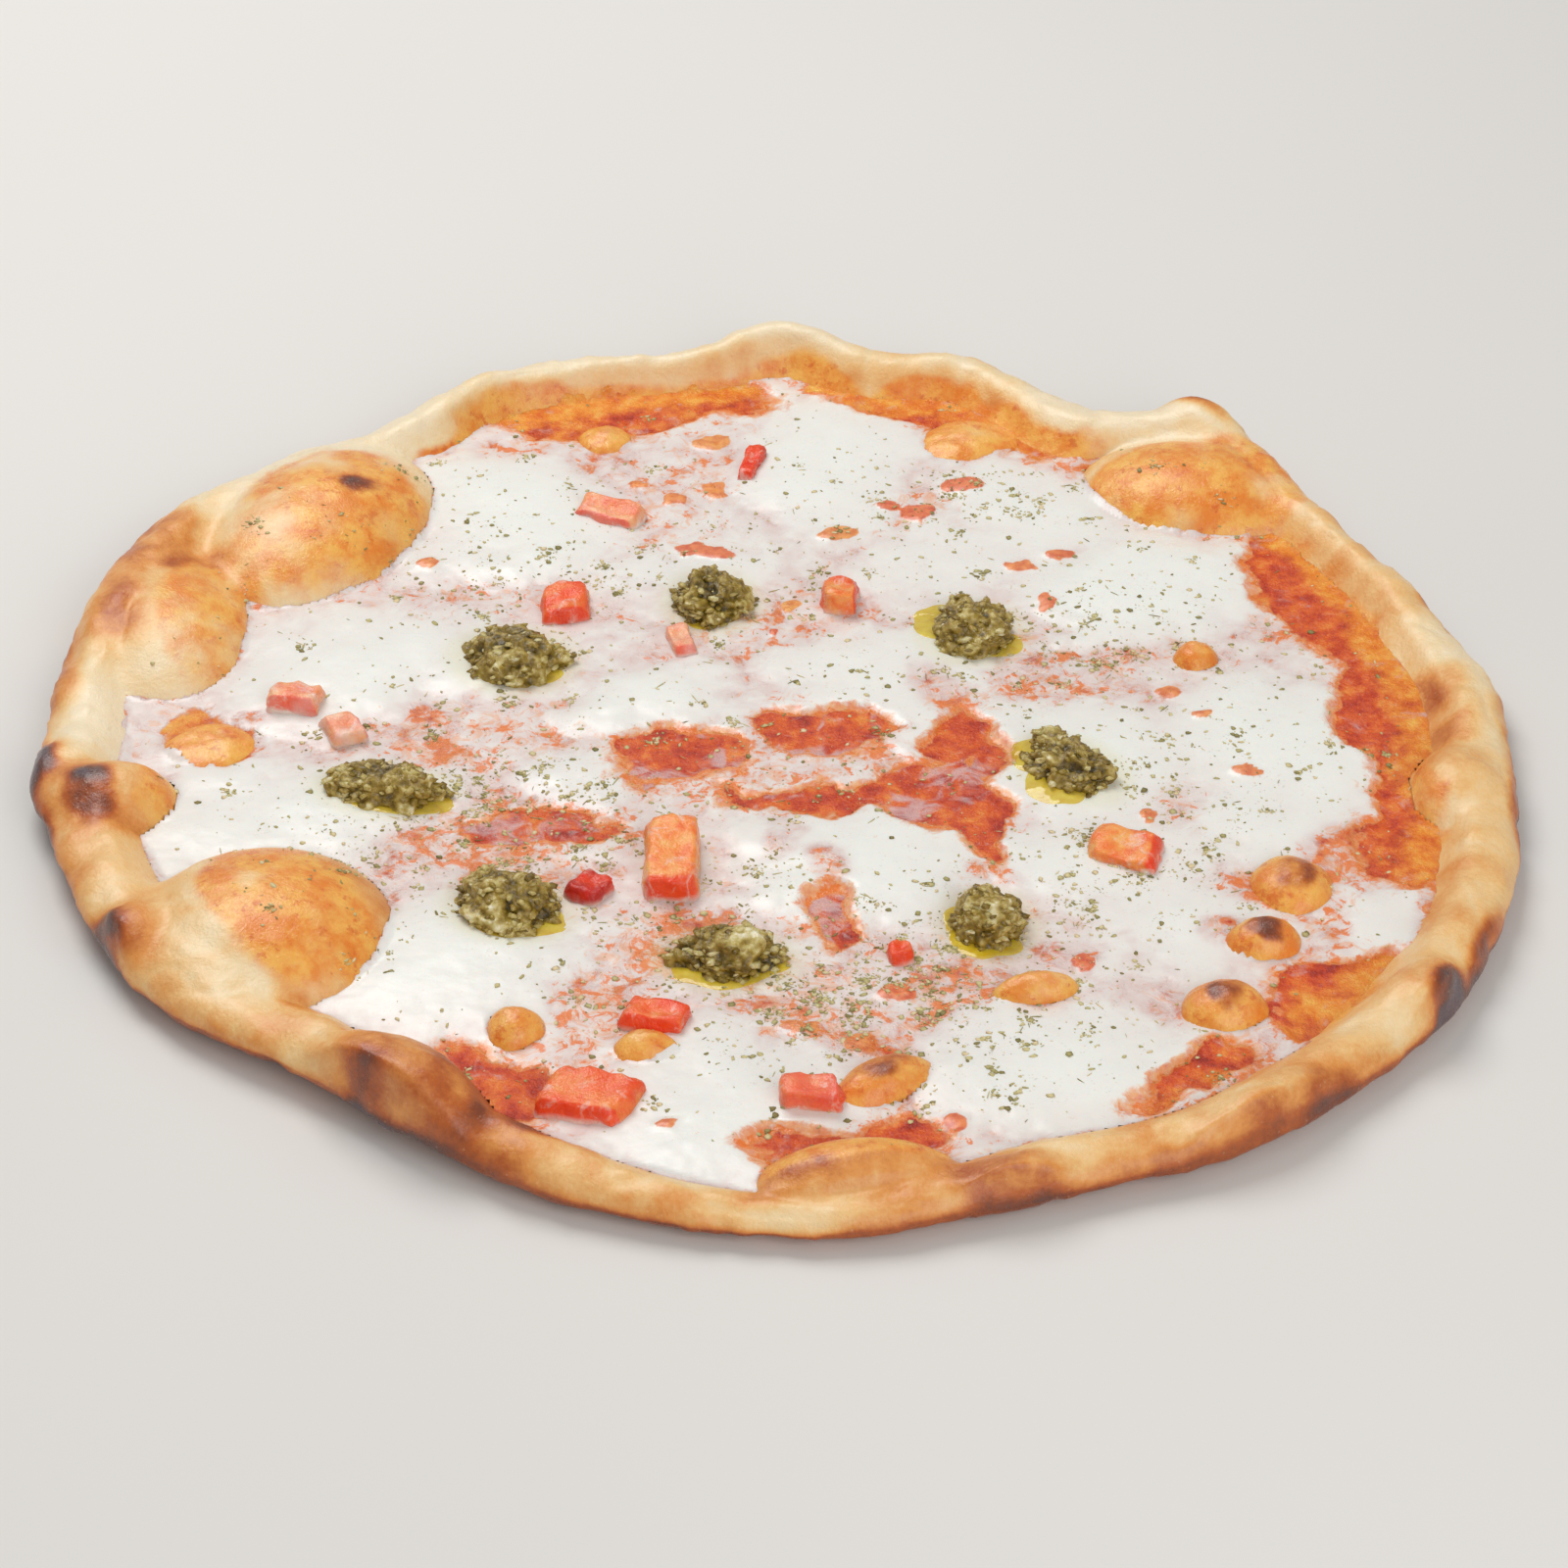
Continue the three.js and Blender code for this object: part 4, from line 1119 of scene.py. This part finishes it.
def topping_finish(name):
    """Sauce where "milk" is low and cheese where it is high, with milky and orange mottling between them."""
    f = Finish(name, Specular_IOR_Level=0.5, Subsurface_Weight=0.2, Subsurface_Scale=0.004)
    f.shader.inputs["Subsurface Radius"].default_value = (1, 0.6, 0.45)
    mottled = f.grain(6, 6, 0.68)
    wet = f.ramp(
        mottled,
        (0.32, (160, 26, 2)),
        (0.44, (204, 60, 8)),
        (0.56, (232, 100, 24)),
        (0.68, (244, 146, 58)),
    )
    dry = f.ramp(mottled, (0.32, (220, 92, 14)), (0.5, (242, 142, 34)), (0.68, (252, 190, 84)))
    cooked = f.between(f.painted("cooked") + (f.grain(6, 4) - 0.5) * 0.5, 0.25, 0.95)
    sauce = f.mix(cooked, wet, dry)
    film = f.between(f.grain(7, 6, 0.64, 1) + f.painted("milky") * 0.2, 0.56, 0.76)
    sauce = f.mix(film * 0.7, sauce, (222, 194, 192))
    milk = f.painted("milk")
    broad = (f.grain(6, 5, 0.64, 0.8) - 0.5) * 0.7
    cover = milk + broad * f.between(milk, 1.0, 0.4)
    pale = f.ramp(
        cover,
        (0.26, (228, 176, 154)),
        (0.38, (224, 198, 191)),
        (0.52, (231, 216, 210)),
        (0.7, (239, 234, 227)),
        (1.0, (243, 243, 235)),
    )
    base = f.mix(f.between(cover, 0.2, 0.4), sauce, pale)
    fringe = f.between(f.grain(3, 6, 0.72, 1) * 0.8 + f.painted("fringe") * 0.42, 0.6, 0.84)
    orange = f.ramp(f.grain(2.6, 5, 0.7), (0.36, (228, 104, 32)), (0.6, (244, 172, 104)))
    base = f.mix(fringe * f.between(cover, 0.16, 0.3) * 0.85, base, orange)
    speckled = f.painted("pink") * 0.25 + 0.42 - cover
    thin = f.between(cover, 0.22, 0.34) * f.between(milk, 1.1, 0.8)
    smears = f.between(f.grain(6, 5, 0.6, 2) + speckled * 0.5, 0.52, 0.68)
    base = f.mix(smears * thin * 0.5, base, (240, 160, 96))
    flecks = f.between(f.grain(3.6, 6, 0.68, 1) + speckled * 0.5, 0.58, 0.65)
    base = f.mix(flecks * thin * 0.85, base, (238, 122, 34))
    stray = f.between(f.grain(2.6, 5, 0.75), 0.66, 0.71)
    base = f.mix(stray * f.between(milk, 1.2, 0.8) * 0.5, base, (236, 160, 98))
    golden = f.ramp(f.grain(2, 4, 0.6), (0.36, (222, 128, 38)), (0.62, (246, 176, 84)))
    red = f.ramp(f.grain(2, 4, 0.6), (0.36, (208, 66, 28)), (0.62, (240, 122, 64)))
    scrap = f.between(f.painted("scrap") + (f.grain(1.6, 4, 0.6) - 0.5) * 0.6, 0.32, 0.68)
    base = f.mix(scrap * 0.92, base, f.mix(f.painted("scrap_red"), golden, red))
    base = f.mix(f.painted("oily") * 0.22, base, (222, 214, 140))
    dust = f.between(f.cells(0.9), 0.36, 0.2) * f.between(f.grain(2.4, 3, 0.6), 0.5, 0.6) * f.painted("dust")
    base = f.mix(dust * 0.75, base, (160, 144, 112))
    pulp = f.grain(0.9, 4, 0.65) * f.between(cover, 0.5, 0.25) * 1.4
    rise = f.grain(2, 3, 0.5) * 0.15 + f.grain(9, 2) * 0.8 + pulp
    return f.wear(Base_Color=base, Roughness=0.3 + (f.grain(5, 3) - 0.5) * 0.22, Normal=f.bump(rise, 0.35))


def pesto_finish():
    f = Finish("basil_pesto", Specular_IOR_Level=0.6, Subsurface_Weight=0.08, Subsurface_Scale=0.001)
    # tone carries the heap's painted highlight on its lumps and painted shade in its hollows, with random
    # tone on top; the painted highlight reaches the palest stops.
    tone = f.painted("tone") + (f.grain(1.6, 5, 0.65) - 0.5) * 0.9
    base = f.ramp(
        tone,
        (0.0, (66, 52, 8)),
        (0.25, (122, 98, 22)),
        (0.5, (166, 138, 54)),
        (0.72, (206, 188, 116)),
        (0.95, (244, 236, 204)),
    )
    rise = f.grain(0.8, 4, 0.6) * 0.6 + f.grain(2.2, 3) * 1.3
    return f.wear(Base_Color=base, Roughness=0.1 + f.grain(1.6, 3) * 0.24, Normal=f.bump(rise, 0.5))


def tomato_finish():
    f = Finish("cut_tomato", Specular_IOR_Level=0.5, Subsurface_Weight=0.25, Subsurface_Scale=0.003)
    f.shader.inputs["Subsurface Radius"].default_value = (1, 0.35, 0.15)
    flesh = f.ramp(f.grain(4.5, 4, 0.6), (0.3, (244, 104, 46)), (0.5, (254, 152, 76)), (0.7, (255, 192, 112)))
    red = f.ramp(f.grain(3, 3, 0.5), (0.3, (234, 44, 12)), (0.7, (252, 92, 40)))
    skin = f.painted("skin") + (f.grain(3, 4, 0.6) - 0.5) * 0.4
    base = f.mix(f.between(skin, 0.2, 0.75), flesh, red)
    base = f.mix(f.between(skin, 0.75, 1.0), base, (186, 26, 14))
    film = f.painted("milk") * 0.8 + f.between(f.grain(5, 5, 0.65, 1), 0.54, 0.66) * 0.45
    base = f.mix(film, base, (240, 218, 206))
    rise = f.grain(0.8, 4, 0.6) + f.grain(2.2, 2)
    return f.wear(Base_Color=base, Roughness=0.26 + (f.grain(2, 2) - 0.5) * 0.2, Normal=f.bump(rise, 0.25))


def oil_finish():
    f = Finish("green_oil", Roughness=0.06, Specular_IOR_Level=0.6, Alpha=0.72)
    base = f.ramp(f.grain(2.5, 3), (0.3, (224, 182, 28)), (0.7, (242, 218, 66)))
    return f.wear(Base_Color=base)


def herb_finish():
    f = Finish("dried_herb", Roughness=0.85, Specular_IOR_Level=0.25)
    base = f.ramp(
        f.painted("tone"),
        (0.0, (136, 126, 78)),
        (0.35, (184, 174, 118)),
        (0.7, (214, 202, 148)),
        (1.0, (232, 212, 170)),
    )
    return f.wear(Base_Color=base)


def floor_finish():
    f = Finish("pale_floor", Roughness=0.9, Specular_IOR_Level=0.1)
    base = f.ramp(f.grain(400, 2), (0.3, (226, 223, 218)), (0.7, (230, 227, 222)))
    return f.wear(Base_Color=base)


# Floor, light and camera

def make_floor():
    bm = bmesh.new()
    bmesh.ops.create_grid(bm, x_segments=4, y_segments=4, size=4)
    mesh = to_mesh(bm, "floor")
    mesh.materials.append(floor_finish())
    floor = bpy.data.objects.new("floor", mesh)
    floor.location.z = -0.0002
    bpy.context.scene.collection.objects.link(floor)


def soft_light(name, position, aim, size, watts):
    light = bpy.data.lights.new(name, "AREA")
    light.shape = "DISK"
    light.size = size
    light.energy = watts
    lamp = bpy.data.objects.new(name, light)
    lamp.location = position
    lamp.rotation_euler = (Vector(aim) - Vector(position)).to_track_quat("-Z", "Y").to_euler()
    bpy.context.scene.collection.objects.link(lamp)


def set_light_and_camera():
    world = bpy.data.worlds.new("studio")
    world.use_nodes = True
    world.node_tree.nodes["Background"].inputs["Color"].default_value = (1, 1, 1, 1)
    world.node_tree.nodes["Background"].inputs["Strength"].default_value = 0.36
    bpy.context.scene.world = world
    soft_light("key", (-0.35, 0.5, 0.95), (0, 0, 0), 0.7, 7.2)
    soft_light("fill", (0.5, -0.9, 0.6), (0, 0, 0), 0.9, 5.5)
    bpy.context.scene.view_settings.view_transform = "Standard"
    camera = bpy.data.cameras.new("camera")
    camera.lens = 98.3
    camera.sensor_width = 36
    eye = bpy.data.objects.new("camera", camera)
    target = Vector((0.0029, -0.0138, 0))
    back = Vector((0, -cos(radians(36)), sin(radians(36))))
    eye.location = target + back * 0.95
    eye.rotation_euler = (-back).to_track_quat("-Z", "Y").to_euler()
    bpy.context.scene.collection.objects.link(eye)
    bpy.context.scene.camera = eye


make_floor()
set_light_and_camera()
dough = dough_finish()
make_crust(dough)
make_blisters(dough)
make_sauce(topping_finish("tomato_sauce"))
make_cheese(topping_finish("melted_mozzarella"))
green = pesto_finish()
for number, heap in enumerate(PESTO, 1):
    make_pesto(number, heap, green)
red = tomato_finish()
for number, dice in enumerate(TOMATO, 1):
    make_tomato(number, dice, red)
make_oil(oil_finish())
make_herbs(herb_finish())
